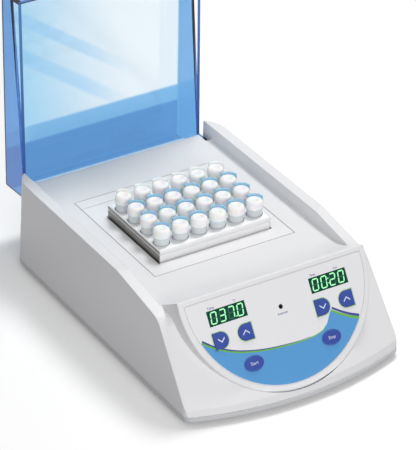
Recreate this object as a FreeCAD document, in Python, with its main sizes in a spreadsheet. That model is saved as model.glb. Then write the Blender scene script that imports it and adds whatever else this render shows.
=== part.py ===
import FreeCAD, Part
import math
import os
import Sketcher

# Dry bath incubator: a bench heater that keeps tubes warm in a metal block.
# X runs to the right as seen by the user, Y runs to the back, Z is up.
# The origin is on the bench, under the middle of the whole instrument with its lid open.

Vector = FreeCAD.Vector
doc = FreeCAD.newDocument("DryBath")

# Driving dimensions: millimetres, and degrees where the name says angle or tilt.
DRIVING = {
    "front_reach": 156.0, "rear_reach": 127.5, "house_draft_angle": 2.2, "house_wall": 2.5,
    "rear_corner": 22.0, "front_corner": 8.0, "tool_past": 5.0,
    "foot_height": 4.0, "foot_radius": 7.0, "foot_x": 70.0, "foot_front": 118.0, "foot_rear": 108.0,
    "foot_taper": 1.0,
    "lip_height": 3.5, "pan_floor": 2.5, "boss_radius": 4.0, "vent_pitch": 9.0, "vent_width": 3.0,
    "vent_front": 70.0, "vent_back": 100.0,
    "cheek_top": 75.8, "cheek_width": 8.5, "deck_top": 64.8, "deck_thick": 3.5,
    "deck_soft": 1.0, "deck_rear_round": 4.0,
    "crown_radius": 158.0, "crown_angle": 10.0, "brow_round": 14.0,
    "flank_radius": 223.1, "flank_setback": 27.4, "flank_z": 47.5, "flank_angle": 54.5,
    "apron_angle": 74.0,
    "pod_behind": 50.2, "pod_top": 82.0, "pod_tilt": 58.2, "pod_radius": 78.8, "pod_drop": 6.6,
    "pod_wall": 3.3, "pod_deep": 34.0, "ramp_round": 40.0,
    "bezel_thick": 3.0, "bezel_soft": 1.0, "label_radius": 74.0, "label_top": 4.0,
    "label_thick": 0.5, "label_sink": 0.6, "label_gap": 0.2,
    "window_width": 31.5, "window_height": 11.4, "window_x": 42.8, "window_drop": 17.6,
    "window_sink": 0.2, "window_thick": 1.0, "window_rim": 1.0, "window_gap": 0.05,
    "key_radius": 5.8, "key_inner_x": 32.6, "key_outer_x": 52.9, "key_drop": 34.2,
    "key_proud": 0.7, "key_soft": 0.4, "key_gap": 0.3, "key_travel": 0.5, "key_play": 0.2,
    "flange_thick": 0.9, "flange_rim": 1.2, "flange_gap": 0.05, "stem_radius": 2.5,
    "oval_x": 32.9, "oval_drop": 57.3, "oval_long": 7.4, "oval_short": 5.0,
    "jack_radius": 1.1, "jack_wall": 0.7, "jack_drop": 24.7, "jack_floor": 3.0,
    "board_front": 10.4, "board_thick": 1.6, "board_radius": 68.0, "board_top": 6.0,
    "post_radius": 3.0, "post_side_x": 66.0, "post_side_drop": 20.0, "post_low_x": 15.0,
    "post_low_drop": 65.0, "post_top_x": 12.0, "post_top_drop": 12.0,
    "tact_half": 3.0, "tact_thick": 3.5, "tact_button": 0.7,
    "block_y": 9.5, "block_width": 95.3, "block_depth": 76.2, "block_height": 50.8,
    "block_proud": 9.9, "block_bevel": 1.0, "groove_drop": 3.0, "groove_high": 1.2,
    "groove_deep": 0.6, "bore_radius": 6.25, "bore_flare": 0.25, "bore_deep": 38.5,
    "bore_pitch_x": 16.0, "bore_pitch_y": 18.6, "well_gap": 1.2, "well_wall": 1.5,
    "plate_side": 59.7, "plate_front": 52.5, "plate_rear": 68.0, "plate_thick": 1.6,
    "plate_gap": 0.5, "plate_ledge": 5.0, "plate_line": 57.0, "line_width": 0.6, "line_deep": 0.8,
    "heater_thick": 8.0, "mat_thick": 1.5, "felt_thick": 6.0, "felt_top": 58.0,
    "sensor_radius": 2.0, "sensor_x": 25.0, "sensor_in": 10.0, "sensor_long": 26.0,
    "cutout_radius": 8.0, "cutout_rise": 18.0, "cutout_thick": 5.0, "cutout_neck": 9.0,
    "tube_radius": 5.8, "tube_tip": 2.0, "tube_cone": 17.0, "tube_neck": 5.7,
    "cap_radius": 6.5, "cap_high": 12.2, "cap_dome": 2.4, "cap_flat": 4.1,
    "lid_width": 157.0, "lid_side_gap": 1.12, "lid_front": 163.1, "lid_wall": 2.6, "lid_rear": 7.9,
    "lid_edge_z": 8.8, "lid_rear_z": 41.8, "lid_front_z": 24.8, "lid_lip_z": 4.0,
    "lid_open_angle": 94.0, "lid_round": 3.0,
    "hinge_inset": 11.9, "hinge_below_deck": 7.9, "hinge_well": 10.0, "hinge_slot_gap": 1.2,
    "hinge_eye_radius": 6.0, "pin_radius": 2.0, "pin_gap": 0.3, "pin_grip": 4.5, "pin_inset": 0.6,
    "rear_step": 5.0,
    "seat_deep": 1.6, "seat_rim": 1.6, "seat_gap": 0.2, "port_reach": 12.0, "flange_proud": 1.0,
    "inlet_x": 46.0, "inlet_z": 27.0, "inlet_half_x": 15.5, "inlet_half_z": 15.0, "inlet_deep": 18.0,
    "socket_half_x": 12.2, "socket_half_z": 8.0, "socket_deep": 15.0, "socket_rise": 4.5,
    "blade_x": 7.0, "blade_z": 2.0, "blade_half_x": 1.0, "blade_half_z": 2.0, "blade_long": 10.0,
    "drawer_half_x": 11.0, "drawer_half_z": 3.0, "drawer_drop": 9.5, "drawer_deep": 14.0,
    "drawer_gap": 0.2, "grip_half_x": 3.0, "grip_rise": 1.0, "grip_thick": 1.0, "grip_proud": 1.0,
    "switch_x": 10.0, "switch_half_x": 11.5, "switch_half_z": 8.0, "switch_deep": 13.0,
    "switch_well": 7.0, "rocker_half_x": 7.8, "rocker_half_z": 5.0, "rocker_high": 6.0,
    "rocker_dip": 0.8, "rocker_behind": 3.0, "rocker_room": 1.0, "rocker_gap": 0.3,
    "rocker_angle": 7.0,
    "power_y": 64.0, "power_wide": 121.0, "power_long": 40.0, "power_x": 72.0, "power_lift": 6.0,
    "power_inset": 6.0, "module_x": 12.0, "module_y": 9.0, "module_wide": 34.0,
    "module_long": 26.0, "module_high": 20.0, "can_x": 56.0, "can_pitch": 13.0, "can_y": 28.0,
    "can_radius": 5.0, "can_high": 16.0, "sink_x": 50.0, "sink_y": 6.0, "sink_wide": 26.0,
    "sink_thick": 3.0, "sink_high": 18.0, "fin_inset": 1.0, "fin_pitch": 5.5, "fin_thick": 1.5,
    "fin_deep": 6.0,
}
VENTS = 9
FINS = 5
BORE_ROWS = 4
BORE_COLUMNS = 6


class Size:
    """A size in mm together with the sheet formula that gives it."""

    def __init__(self, value, text):
        self.value = float(value)
        self.text = text

    def __add__(self, other):
        return joined(self, "+", other)

    def __radd__(self, other):
        return joined(other, "+", self)

    def __sub__(self, other):
        return joined(self, "-", other)

    def __rsub__(self, other):
        return joined(other, "-", self)

    def __mul__(self, other):
        return joined(self, "*", other)

    def __rmul__(self, other):
        return joined(other, "*", self)

    def __truediv__(self, other):
        return joined(self, "/", other)

    def __rtruediv__(self, other):
        return joined(other, "/", self)

    def __neg__(self):
        return joined(-1, "*", self)


OPERATIONS = {
    "+": lambda a, b: a + b,
    "-": lambda a, b: a - b,
    "*": lambda a, b: a * b,
    "/": lambda a, b: a / b,
}


def sized(item):
    """Any number as a Size."""
    if isinstance(item, Size):
        return item
    return Size(item, "(%.6f)" % item)


def joined(first, sign, second):
    a, b = sized(first), sized(second)
    return Size(OPERATIONS[sign](a.value, b.value), "(%s %s %s)" % (a.text, sign, b.text))


def sine(angle):
    return Size(math.sin(math.radians(angle.value)), "sin(%s)" % angle.text)


def cosine(angle):
    return Size(math.cos(math.radians(angle.value)), "cos(%s)" % angle.text)


def tangent(angle):
    return Size(math.tan(math.radians(angle.value)), "tan(%s)" % angle.text)


def root(area):
    return Size(math.sqrt(area.value), "sqrt(%s)" % area.text)


sheet = doc.addObject("Spreadsheet::Sheet", "Sizes")
for row, (alias, number) in enumerate(DRIVING.items(), start=1):
    sheet.set("A%d" % row, alias)
    sheet.set("B%d" % row, str(number))
    sheet.setAlias("B%d" % row, alias)
doc.recompute()


class Named:
    """The sheet's cells as attributes, so that d.cheek_top is a Size."""

    def __getattr__(self, alias):
        return Size(sheet.get(alias), "Sizes.%s" % alias)


d = Named()
ZERO = sized(0)
PIECES = []


def piece(thing, label):
    """Marks a finished sub-part and gives it the name of its file."""
    thing.Label = label
    PIECES.append(thing)
    return thing


def bind(thing, **sizes):
    for name, size in sizes.items():
        thing.setExpression(name, sized(size).text)


def place(thing, x, y, z, axis=None, angle=None):
    """Puts a thing at x, y, z, turned by an angle about an axis through that point."""
    turn = FreeCAD.Rotation(axis or Vector(0, 0, 1), sized(angle or 0).value)
    thing.Placement = FreeCAD.Placement(Vector(0, 0, 0), turn)
    for name, size in (("x", x), ("y", y), ("z", z)):
        thing.setExpression("Placement.Base.%s" % name, sized(size).text)
    if isinstance(angle, Size):
        thing.setExpression("Placement.Rotation.Angle", angle.text)
    return thing


def box(name, x0, x1, y0, y1, z0, z1):
    """A rectangular block between two corners."""
    thing = doc.addObject("Part::Box", name)
    bind(thing, Length=x1 - x0, Width=y1 - y0, Height=z1 - z0)
    return place(thing, x0, y0, z0)


AXES = {
    "x": (Vector(0, 1, 0), 90),
    "y": (Vector(1, 0, 0), -90),
    "z": (None, None),
}


def rod(name, radius, length, x, y, z, along="z"):
    """A cylinder whose length runs along one axis from x, y, z."""
    thing = doc.addObject("Part::Cylinder", name)
    bind(thing, Radius=radius, Height=length)
    return place(thing, x, y, z, *AXES[along])


def cut(name, base, *tools):
    """The base less the tools."""
    tool = tools[0]
    if len(tools) > 1:
        tool = doc.addObject("Part::MultiFuse", name + "_tools")
        tool.Shapes = list(tools)
    thing = doc.addObject("Part::Cut", name)
    thing.Base = base
    thing.Tool = tool
    return thing


def fuse(name, *things):
    thing = doc.addObject("Part::MultiFuse", name)
    thing.Shapes = list(things)
    return thing


def group(name, things):
    """Separate solids that share one node."""
    thing = doc.addObject("Part::Compound", name)
    thing.Links = list(things)
    return thing


class Moulding:
    """A PartDesign body with the sketches and features that shape it."""

    def __init__(self, name):
        self.body = doc.addObject("PartDesign::Body", name)
        self.name = name
        self.count = 0

    def title(self, kind):
        self.count += 1
        return "%s_%s_%d" % (self.name, kind, self.count)

    def sketch(self, role="XY_Plane", x=0, y=0, z=0, tilt=None):
        """A sketch on an origin plane, shifted in that plane's own axes and tilted about its x."""
        drawing = self.body.newObject("Sketcher::SketchObject", self.title("sketch"))
        planes = [f for f in self.body.Origin.OriginFeatures if f.Role == role]
        drawing.AttachmentSupport = [(planes[0], "")]
        drawing.MapMode = "FlatFace"
        turn = FreeCAD.Rotation(Vector(1, 0, 0), tilt.value if tilt else 0)
        drawing.AttachmentOffset = FreeCAD.Placement(Vector(0, 0, 0), turn)
        for name, size in (("x", x), ("y", y), ("z", z)):
            drawing.setExpression("AttachmentOffset.Base.%s" % name, sized(size).text)
        if tilt:
            drawing.setExpression("AttachmentOffset.Rotation.Angle", tilt.text)
        doc.recompute()
        return drawing

    def feature(self, kind, drawing):
        thing = self.body.newObject("PartDesign::" + kind, self.title(kind.lower()))
        thing.Profile = drawing
        return thing

    def grow(self, drawing, length, taper=None, back=False, both=False):
        """Pads a sketch by a length."""
        thing = self.feature("Pad", drawing)
        bind(thing, Length=length)
        if taper:
            bind(thing, TaperAngle=taper)
        thing.Reversed = back
        thing.Midplane = both
        return thing

    def sink(self, drawing, depth, back=False, both=False):
        """Cuts a sketch in by a depth, and proves that it cut something."""
        doc.recompute()
        before = self.body.Shape.Volume
        thing = self.feature("Pocket", drawing)
        bind(thing, Length=depth)
        thing.Reversed = back
        thing.Midplane = both
        doc.recompute()
        if not self.body.Shape.Volume < before - 0.01:
            raise RuntimeError("a pocket of %s cuts nothing" % self.name)
        return thing

    def turn_away(self, drawing):
        """Grooves a sketch all round its own vertical axis."""
        doc.recompute()
        before = self.body.Shape.Volume
        thing = self.feature("Groove", drawing)
        thing.ReferenceAxis = (drawing, ["V_Axis"])
        thing.Angle = 360
        doc.recompute()
        if not self.body.Shape.Volume < before - 0.01:
            raise RuntimeError("a groove of %s cuts nothing" % self.name)
        return thing

    def round_edges(self, radius, wanted, kind="Fillet"):
        """Rounds or bevels the edges of the tip that the test picks."""
        doc.recompute()
        tip = self.body.Tip
        picked = ["Edge%d" % (i + 1) for i, edge in enumerate(tip.Shape.Edges) if wanted(edge)]
        if not picked:
            raise RuntimeError("no edge of %s to round" % self.name)
        thing = self.body.newObject("PartDesign::" + kind, self.title("edge"))
        thing.Base = (tip, picked)
        if kind == "Fillet":
            bind(thing, Radius=radius)
        else:
            bind(thing, Size=radius)
        doc.recompute()
        return thing


def fix(drawing, size, kind, *where):
    """Ties one dimension of a sketch to its formula."""
    size = sized(size)
    number = drawing.addConstraint(Sketcher.Constraint(kind, *where, size.value))
    drawing.setExpression("Constraints[%d]" % number, size.text)


def point_at(drawing, geometry, end, x, y):
    """Ties one end of a sketch line, or an arc's centre, to its place."""
    fix(drawing, x, "DistanceX", -1, 1, geometry, end)
    fix(drawing, y, "DistanceY", -1, 1, geometry, end)


def join(drawing, first, first_end, second, second_end):
    drawing.addConstraint(Sketcher.Constraint("Coincident", first, first_end, second, second_end))


def polygon(drawing, corners, bends=None):
    """A closed outline through the corners; a bend makes the stretch after its corner an arc."""
    bends = bends or {}
    spots = [Vector(sized(x).value, sized(y).value, 0) for x, y in corners]
    count = len(spots)
    lines = {}
    for i in range(count):
        if i not in bends:
            line = Part.LineSegment(spots[i], spots[(i + 1) % count])
            lines[i] = drawing.addGeometry(line)
    for i, line in lines.items():
        after = (i + 1) % count
        point_at(drawing, line, 1, *corners[i])
        if after in lines:
            join(drawing, line, 2, lines[after], 1)
        else:
            point_at(drawing, line, 2, *corners[after])
    for i, (x, y, radius) in bends.items():
        before, after = (lines[(i - 1) % count], 2), (lines[(i + 1) % count], 1)
        arc = arc_between(drawing, before, Vector(x.value, y.value, 0), after)
        if radius is None:
            # The arc starts in line with the side below it.
            drawing.addConstraint(Sketcher.Constraint("Tangent", arc, lines[(i - 1) % count]))
        else:
            fix(drawing, radius, "Radius", arc)


def rectangle(drawing, x0, x1, y0, y1):
    polygon(drawing, [(x0, y0), (x1, y0), (x1, y1), (x0, y1)])


def circle(drawing, x, y, radius):
    centre = Vector(sized(x).value, sized(y).value, 0)
    number = drawing.addGeometry(Part.Circle(centre, Vector(0, 0, 1), sized(radius).value))
    point_at(drawing, number, 3, x, y)
    fix(drawing, radius, "Radius", number)


def arc_between(drawing, first, middle, last):
    """An arc from one line's end to another's, through a point between them."""
    start = drawing.getPoint(*first)
    arc = drawing.addGeometry(Part.Arc(start, middle, drawing.getPoint(*last)))
    for end in (1, 2):
        near = first if (drawing.getPoint(arc, end) - start).Length < 0.01 else last
        join(drawing, near[0], near[1], arc, end)
    return arc


def dee(drawing, radius, top, drop):
    """A straight top edge at y = -top, closed by an arc about a centre at y = -drop."""
    radius, top, drop = sized(radius), sized(top), sized(drop)
    half = root(radius * radius - (drop - top) * (drop - top))
    left = Vector(-half.value, -top.value, 0)
    right = Vector(half.value, -top.value, 0)
    line = drawing.addGeometry(Part.LineSegment(right, left))
    arc = arc_between(drawing, (line, 2), Vector(0, -drop.value - radius.value, 0), (line, 1))
    point_at(drawing, line, 1, half, -top)
    point_at(drawing, arc, 3, ZERO, -drop)
    fix(drawing, -top, "DistanceY", -1, 1, line, 2)


def key_shape(drawing, x, drop, radius, flat_side):
    """A key that is round on one side and square on the other."""
    x, y, radius = sized(x), -sized(drop), sized(radius)
    edge = x + radius * flat_side
    corners = [(x, y + radius), (edge, y + radius), (edge, y - radius), (x, y - radius)]
    spots = [Vector(a.value, b.value, 0) for a, b in corners]
    first = drawing.GeometryCount
    for i in range(3):
        drawing.addGeometry(Part.LineSegment(spots[i], spots[i + 1]))
    join(drawing, first, 2, first + 1, 1)
    join(drawing, first + 1, 2, first + 2, 1)
    middle = Vector(x.value - flat_side * radius.value, y.value, 0)
    arc = arc_between(drawing, (first + 2, 2), middle, (first, 1))
    point_at(drawing, first + 1, 1, *corners[1])
    point_at(drawing, first + 1, 2, *corners[2])
    point_at(drawing, arc, 3, x, y)
    fix(drawing, radius, "Radius", arc)
    fix(drawing, x, "DistanceX", -1, 1, first, 1)
    fix(drawing, x, "DistanceX", -1, 1, first + 2, 2)


def upright(edge):
    """Whether an edge stands up, draft and all."""
    way = edge.tangentAt(edge.FirstParameter)
    return abs(way.z) > 0.95


# Heights and places that several pieces share.
rim_z = d.foot_height
seam_z = d.foot_height + d.lip_height
cheek_in = d.lid_width / 2 + d.lid_side_gap
half_width = cheek_in + d.cheek_width + (d.cheek_top - seam_z) * tangent(d.house_draft_angle)
bow_radius = d.flank_radius + d.flank_setback
bow_y = bow_radius - d.front_reach
pod_y = d.front_reach - d.pod_behind
ceiling = d.deck_top - d.deck_thick
hinge_y = d.rear_reach - d.hinge_inset
hinge_z = d.deck_top - d.hinge_below_deck
step_y = d.rear_reach - d.rear_step
step_z = hinge_z - d.hinge_well
slot_in = d.lid_width / 2 - d.lid_wall - d.hinge_slot_gap
slot_front = hinge_y - d.hinge_eye_radius - d.hinge_slot_gap
seat_y = d.rear_reach - d.seat_deep
block_top = d.deck_top + d.block_proud
block_low = block_top - d.block_height


def plan_outline(drawing, inset, front_radius):
    """The outline from above: straight sides and back, and a front bowed in one arc."""
    half = half_width - inset
    back = d.rear_reach - inset
    side_y = bow_y - root(front_radius * front_radius - half * half)
    spots = [
        Vector(half.value, side_y.value, 0),
        Vector(half.value, back.value, 0),
        Vector(-half.value, back.value, 0),
        Vector(-half.value, side_y.value, 0),
    ]
    for i in range(3):
        drawing.addGeometry(Part.LineSegment(spots[i], spots[i + 1]))
    join(drawing, 0, 2, 1, 1)
    join(drawing, 1, 2, 2, 1)
    arc = arc_between(drawing, (2, 2), Vector(0, (bow_y - front_radius).value, 0), (0, 1))
    point_at(drawing, 1, 1, half, back)
    point_at(drawing, 1, 2, -half, back)
    point_at(drawing, arc, 3, ZERO, bow_y)
    fix(drawing, half, "DistanceX", -1, 1, 0, 1)
    fix(drawing, -half, "DistanceX", -1, 1, 2, 2)
    fix(drawing, front_radius, "Radius", arc)


def flank_at(height, inset):
    """How far the sloping front lies from the axis of its bow, at a height."""
    steep = d.flank_angle
    return d.flank_radius - inset / sine(steep) - (height - d.flank_z) / tangent(steep)


def apron_at(height, inset):
    """The same for the steeper strip at the foot of the front."""
    steep = d.apron_angle
    return bow_radius - inset / sine(steep) - (height - rim_z) / tangent(steep)


def apron_top(inset):
    """The height where the slope of the front turns into the steeper strip."""
    change = 1 / tangent(d.flank_angle) - 1 / tangent(d.apron_angle)
    return (flank_at(ZERO, inset) - apron_at(ZERO, inset)) / change


def brow():
    """Where the gentle fall of the cheeks' tops meets the slope of the front."""
    fall, steep = tangent(d.crown_angle), tangent(d.flank_angle)
    height_gap = d.flank_z - d.cheek_top
    radius = (height_gap + d.flank_radius * steep - d.crown_radius * fall) / (steep - fall)
    return radius, d.cheek_top - (radius - d.crown_radius) * fall


def rounded_brow():
    """The brow's corner as an arc: where it starts and ends, and a point on it."""
    radius, height = brow()
    fall, steep = d.crown_angle, d.flank_angle
    half_turn = (steep - fall) / 2
    reach = d.brow_round * tangent(half_turn)
    start = (radius - reach * cosine(fall), height + reach * sine(fall))
    end = (radius + reach * cosine(steep), height - reach * sine(steep))
    halfway = (steep + fall) / 2
    centre = (start[0] - d.brow_round * sine(fall), start[1] - d.brow_round * cosine(fall))
    middle = (centre[0] + d.brow_round * sine(halfway), centre[1] + d.brow_round * cosine(halfway))
    return start, middle, end


def take_off_front(form, top_corners, bend, inset, top, low):
    """Turns away all that lies in front of the profile, about the axis of the bow."""
    profile = form.sketch("YZ_Plane", x=bow_y)
    outside = bow_radius + d.tool_past * 12
    above = top + d.brow_round
    crease = apron_top(inset)
    corners = list(top_corners)
    corners.append((apron_at(crease, inset), crease))
    corners.append((apron_at(low - 1, inset), low - 1))
    corners.append((outside, low - 1))
    corners.append((outside, above))
    corners.append((top_corners[0][0], above))
    bends = {1: (bend[0], bend[1], d.brow_round)} if bend else {}
    # Drawn behind the axis, so that the seam of the turned face lies clear of the housing.
    polygon(profile, corners, bends)
    form.turn_away(profile)


def shell_form(name, inset, top, low):
    """The block of the housing, or of the hollow in it, by how far it lies inside the outer face."""
    form = Moulding(name)
    plan = form.sketch(z=low)
    plan_outline(plan, inset, bow_radius - inset)
    form.grow(plan, top - low, taper=-d.house_draft_angle)
    form.round_edges(d.rear_corner - inset, lambda e: upright(e) and e.CenterOfMass.y > 0)
    form.round_edges(d.front_corner - inset, lambda e: upright(e) and e.CenterOfMass.y < 0)
    return form


def deck_outline(drawing):
    """The side view of what is open above the deck, from behind the back to past the pod's edge."""
    tilt = d.pod_tilt
    foot_y = (d.pod_top - d.deck_top) * tangent(tilt) - pod_y
    lean = (90 - tilt) / 2
    reach = d.ramp_round * tangent(lean)
    rise = (foot_y - reach * sine(tilt), d.deck_top + reach * cosine(tilt))
    past = d.pod_deep
    edge_y = -pod_y - past
    edge_z = d.pod_top + past / tangent(tilt)
    high = edge_z + d.tool_past
    back = d.rear_reach + d.tool_past
    middle_y = foot_y + reach - d.ramp_round * sine(lean)
    middle_z = d.deck_top + d.ramp_round * (1 - cosine(lean))
    corners = [(foot_y + reach, d.deck_top), (back, d.deck_top), (back, high), (edge_y, high)]
    corners += [(edge_y, edge_z), rise]
    polygon(drawing, corners, {5: (middle_y, middle_z, d.ramp_round)})


def panel_sketch(moulding, behind):
    """A sketch parallel to the control panel's face, a distance behind it."""
    y = -pod_y + behind * sine(d.pod_tilt)
    z = d.pod_top - behind * cosine(d.pod_tilt)
    return moulding.sketch("XY_Plane", 0, y, z, d.pod_tilt)


def on_panel(thing):
    """Stands a thing drawn flat on the panel's face: its y runs up the slope, its z outwards."""
    return place(thing, 0, -pod_y, d.pod_top, Vector(1, 0, 0), d.pod_tilt)


def in_line(edge, height):
    """Whether an edge lies level at a height."""
    limits = edge.BoundBox
    return limits.ZLength < 0.1 and abs(limits.ZMax - height.value) < 0.1


def cheek_foot(edge):
    """The long corner where the deck meets the inner side of a cheek."""
    limits = edge.BoundBox
    at_cheek = limits.XLength < 0.1 and abs(abs(limits.XMax) - cheek_in.value) < 0.1
    return at_cheek and limits.YLength > 100 and in_line(edge, d.deck_top)


def housing_outside():
    """The outer form: cheeks, deck, bowed front and the raised pod for the controls."""
    outer = shell_form("outer_form", ZERO, d.cheek_top, seam_z)
    brow_start, brow_middle, brow_end = rounded_brow()
    top_corners = [(d.crown_radius, d.cheek_top), brow_start, brow_end]
    take_off_front(outer, top_corners, brow_middle, ZERO, d.cheek_top, seam_z)
    pod = panel_sketch(outer, d.bezel_thick)
    dee(pod, d.pod_radius, -d.pod_drop, d.pod_drop)
    outer.grow(pod, d.pod_deep, back=True)
    # One cut makes the deck and the ramp, through the pod's upper edge too.
    deck = outer.sketch("YZ_Plane")
    deck_outline(deck)
    outer.sink(deck, cheek_in * 2, both=True)
    seat = panel_sketch(outer, d.bezel_thick)
    dee(seat, d.pod_radius, -d.tool_past * 4, d.pod_drop)
    outer.sink(seat, d.tool_past * 4, back=True)
    under = outer.sketch(z=seam_z)
    rectangle(under, -half_width, half_width, -d.front_reach, d.rear_reach)
    outer.sink(under, d.pod_deep + d.tool_past)
    # The back steps in between the cheeks, so that the open lid hangs clear behind the deck.
    step = outer.sketch(z=step_z)
    rectangle(step, -cheek_in, cheek_in, step_y, d.rear_reach + d.tool_past)
    outer.sink(step, d.cheek_top - step_z, back=True)
    slots = outer.sketch(z=step_z)
    for low, high in ((-cheek_in, -slot_in), (slot_in, cheek_in)):
        rectangle(slots, low, high, slot_front, step_y + 1)
    outer.sink(slots, d.cheek_top - step_z, back=True)
    outer.round_edges(d.deck_rear_round, rear_deck_edge)
    outer.round_edges(d.deck_soft, cheek_foot)
    return outer


def housing_inside():
    """The hollow of the housing, which keeps clear of the hinge step and its slots."""
    wall = d.house_wall
    low = seam_z - 1
    hollow = shell_form("hollow_form", wall, ceiling, low)
    take_off_front(hollow, [(flank_at(ceiling, wall), ceiling)], None, wall, ceiling, low)
    throat = panel_sketch(hollow, d.bezel_thick - 1)
    dee(throat, d.pod_radius - d.pod_wall, d.pod_wall, d.pod_drop)
    hollow.grow(throat, d.pod_deep + 2, back=True)
    step = hollow.sketch(z=step_z - wall)
    rectangle(step, -half_width, half_width, step_y - wall, d.rear_reach + d.tool_past)
    hollow.sink(step, d.cheek_top, back=True)
    slots = hollow.sketch(z=step_z - wall)
    near, far = slot_in - wall, half_width + d.tool_past
    for left, right in ((-far, -near), (near, far)):
        rectangle(slots, left, right, slot_front - wall, step_y - wall + 1)
    hollow.sink(slots, d.cheek_top, back=True)
    return hollow


def rear_port(name, x, half_x, half_z):
    """A shallow seat for a flange in the rear wall, and the port through the wall behind it."""
    seat_x, seat_z = half_x + d.seat_gap, half_z + d.seat_gap
    port_x, port_z = half_x - d.seat_rim, half_z - d.seat_rim
    z = d.inlet_z
    far = seat_y + d.tool_past
    near = seat_y - d.port_reach
    return [
        box(name + "_seat", x - seat_x, x + seat_x, seat_y, far, z - seat_z, z + seat_z),
        box(name + "_port", x - port_x, x + port_x, near, far, z - port_z, z + port_z),
    ]


def upper_housing():
    """The moulded top shell with the openings for the plate, the hinge pins and the mains."""
    seat_x = d.plate_side + d.plate_gap
    front = d.block_y - d.plate_front - d.plate_gap
    back = d.block_y + d.plate_rear + d.plate_gap
    low = d.deck_top - d.plate_thick
    high = d.deck_top + d.tool_past
    ledge = d.plate_ledge
    hole_x = seat_x - ledge
    tools = [housing_inside().body]
    tools.append(box("plate_seat", -seat_x, seat_x, front, back, low, high))
    tools.append(box("plate_hole", -hole_x, hole_x, front + ledge, back - ledge, ceiling - 1, high))
    for start in (cheek_in - 1, -cheek_in - d.pin_grip):
        tools.append(rod("pin_bore", d.pin_radius, d.pin_grip + 1, start, hinge_y, hinge_z, "x"))
    tools += rear_port("inlet", d.inlet_x, d.inlet_half_x, d.inlet_half_z)
    tools += rear_port("switch", d.switch_x, d.switch_half_x, d.switch_half_z)
    return piece(cut("upper_housing", housing_outside().body, *tools), "upper_housing")


def rear_deck_edge(edge):
    """The long edge where the deck turns down at the back."""
    limits = edge.BoundBox
    at_back = abs(limits.YMax - step_y.value) < 0.1
    return limits.XLength > 60 and at_back and in_line(edge, d.deck_top)


def base_pan():
    """The tray that closes the housing from below, with vents and bosses for the board."""
    floor_z = rim_z + d.pan_floor
    pan = Moulding("pan_form")
    plan = pan.sketch(z=rim_z)
    plan_outline(plan, ZERO, bow_radius)
    pan.grow(plan, d.lip_height)
    pan.round_edges(d.rear_corner, lambda e: upright(e) and e.CenterOfMass.y > 0)
    pan.round_edges(d.front_corner, lambda e: upright(e) and e.CenterOfMass.y < 0)
    hollow = pan.sketch(z=floor_z)
    inset = d.house_wall + 1
    plan_outline(hollow, inset, bow_radius - inset)
    pan.sink(hollow, d.lip_height, back=True)
    vents = pan.sketch(z=rim_z - 1)
    half = d.vent_width / 2
    for i in range(VENTS):
        x = (i - (VENTS - 1) / 2) * d.vent_pitch
        rectangle(vents, x - half, x + half, d.vent_front, d.vent_back)
    pan.sink(vents, d.pan_floor + 2, back=True)
    bosses = pan.sketch(z=floor_z)
    for x, y in power_board_corners():
        circle(bosses, x, y, d.boss_radius)
    pan.grow(bosses, d.power_lift)
    return piece(pan.body, "base_pan")


def power_board_corners():
    """The four fixing points of the power board."""
    inset = d.power_inset
    left, right = -d.power_x + inset, -d.power_x + d.power_wide - inset
    near, far = d.power_y + inset, d.power_y + d.power_long - inset
    return [(left, near), (right, near), (left, far), (right, far)]


def feet():
    """Four rubber feet, each a short cone turned about its own axis."""
    places = {
        "foot_front_left": (-d.foot_x, -d.foot_front),
        "foot_front_right": (d.foot_x, -d.foot_front),
        "foot_rear_left": (-d.foot_x, d.foot_rear),
        "foot_rear_right": (d.foot_x, d.foot_rear),
    }
    for label, (x, y) in places.items():
        foot = doc.addObject("Part::Cone", label + "_form")
        bind(foot, Radius1=d.foot_radius - d.foot_taper, Radius2=d.foot_radius, Height=d.foot_height)
        piece(place(foot, x, y, 0), label)


def well_sides(extra):
    """The half width and half depth of a box that lies outside the block by an amount."""
    return d.block_width / 2 + extra, d.block_depth / 2 + extra


def about_block(name, extra, low, high):
    """A box round the block's middle."""
    half_x, half_y = well_sides(extra)
    return box(name, -half_x, half_x, d.block_y - half_y, d.block_y + half_y, low, high)


def block_surround():
    """The loose plate that frames the block in the deck, with a line across its rear."""
    low = d.deck_top - d.plate_thick
    front, back = d.block_y - d.plate_front, d.block_y + d.plate_rear
    plate = box("surround_sheet", -d.plate_side, d.plate_side, front, back, low, d.deck_top)
    opening = about_block("surround_opening", d.well_gap, low - 1, d.deck_top + 1)
    line_y = d.block_y + d.plate_line
    line_end = line_y + d.line_width
    far = d.plate_side + 1
    line_low = d.deck_top - d.line_deep
    line = box("surround_line", -far, far, line_y, line_end, line_low, d.deck_top + 1)
    piece(cut("block_surround", plate, opening, line), "block_surround")


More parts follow.
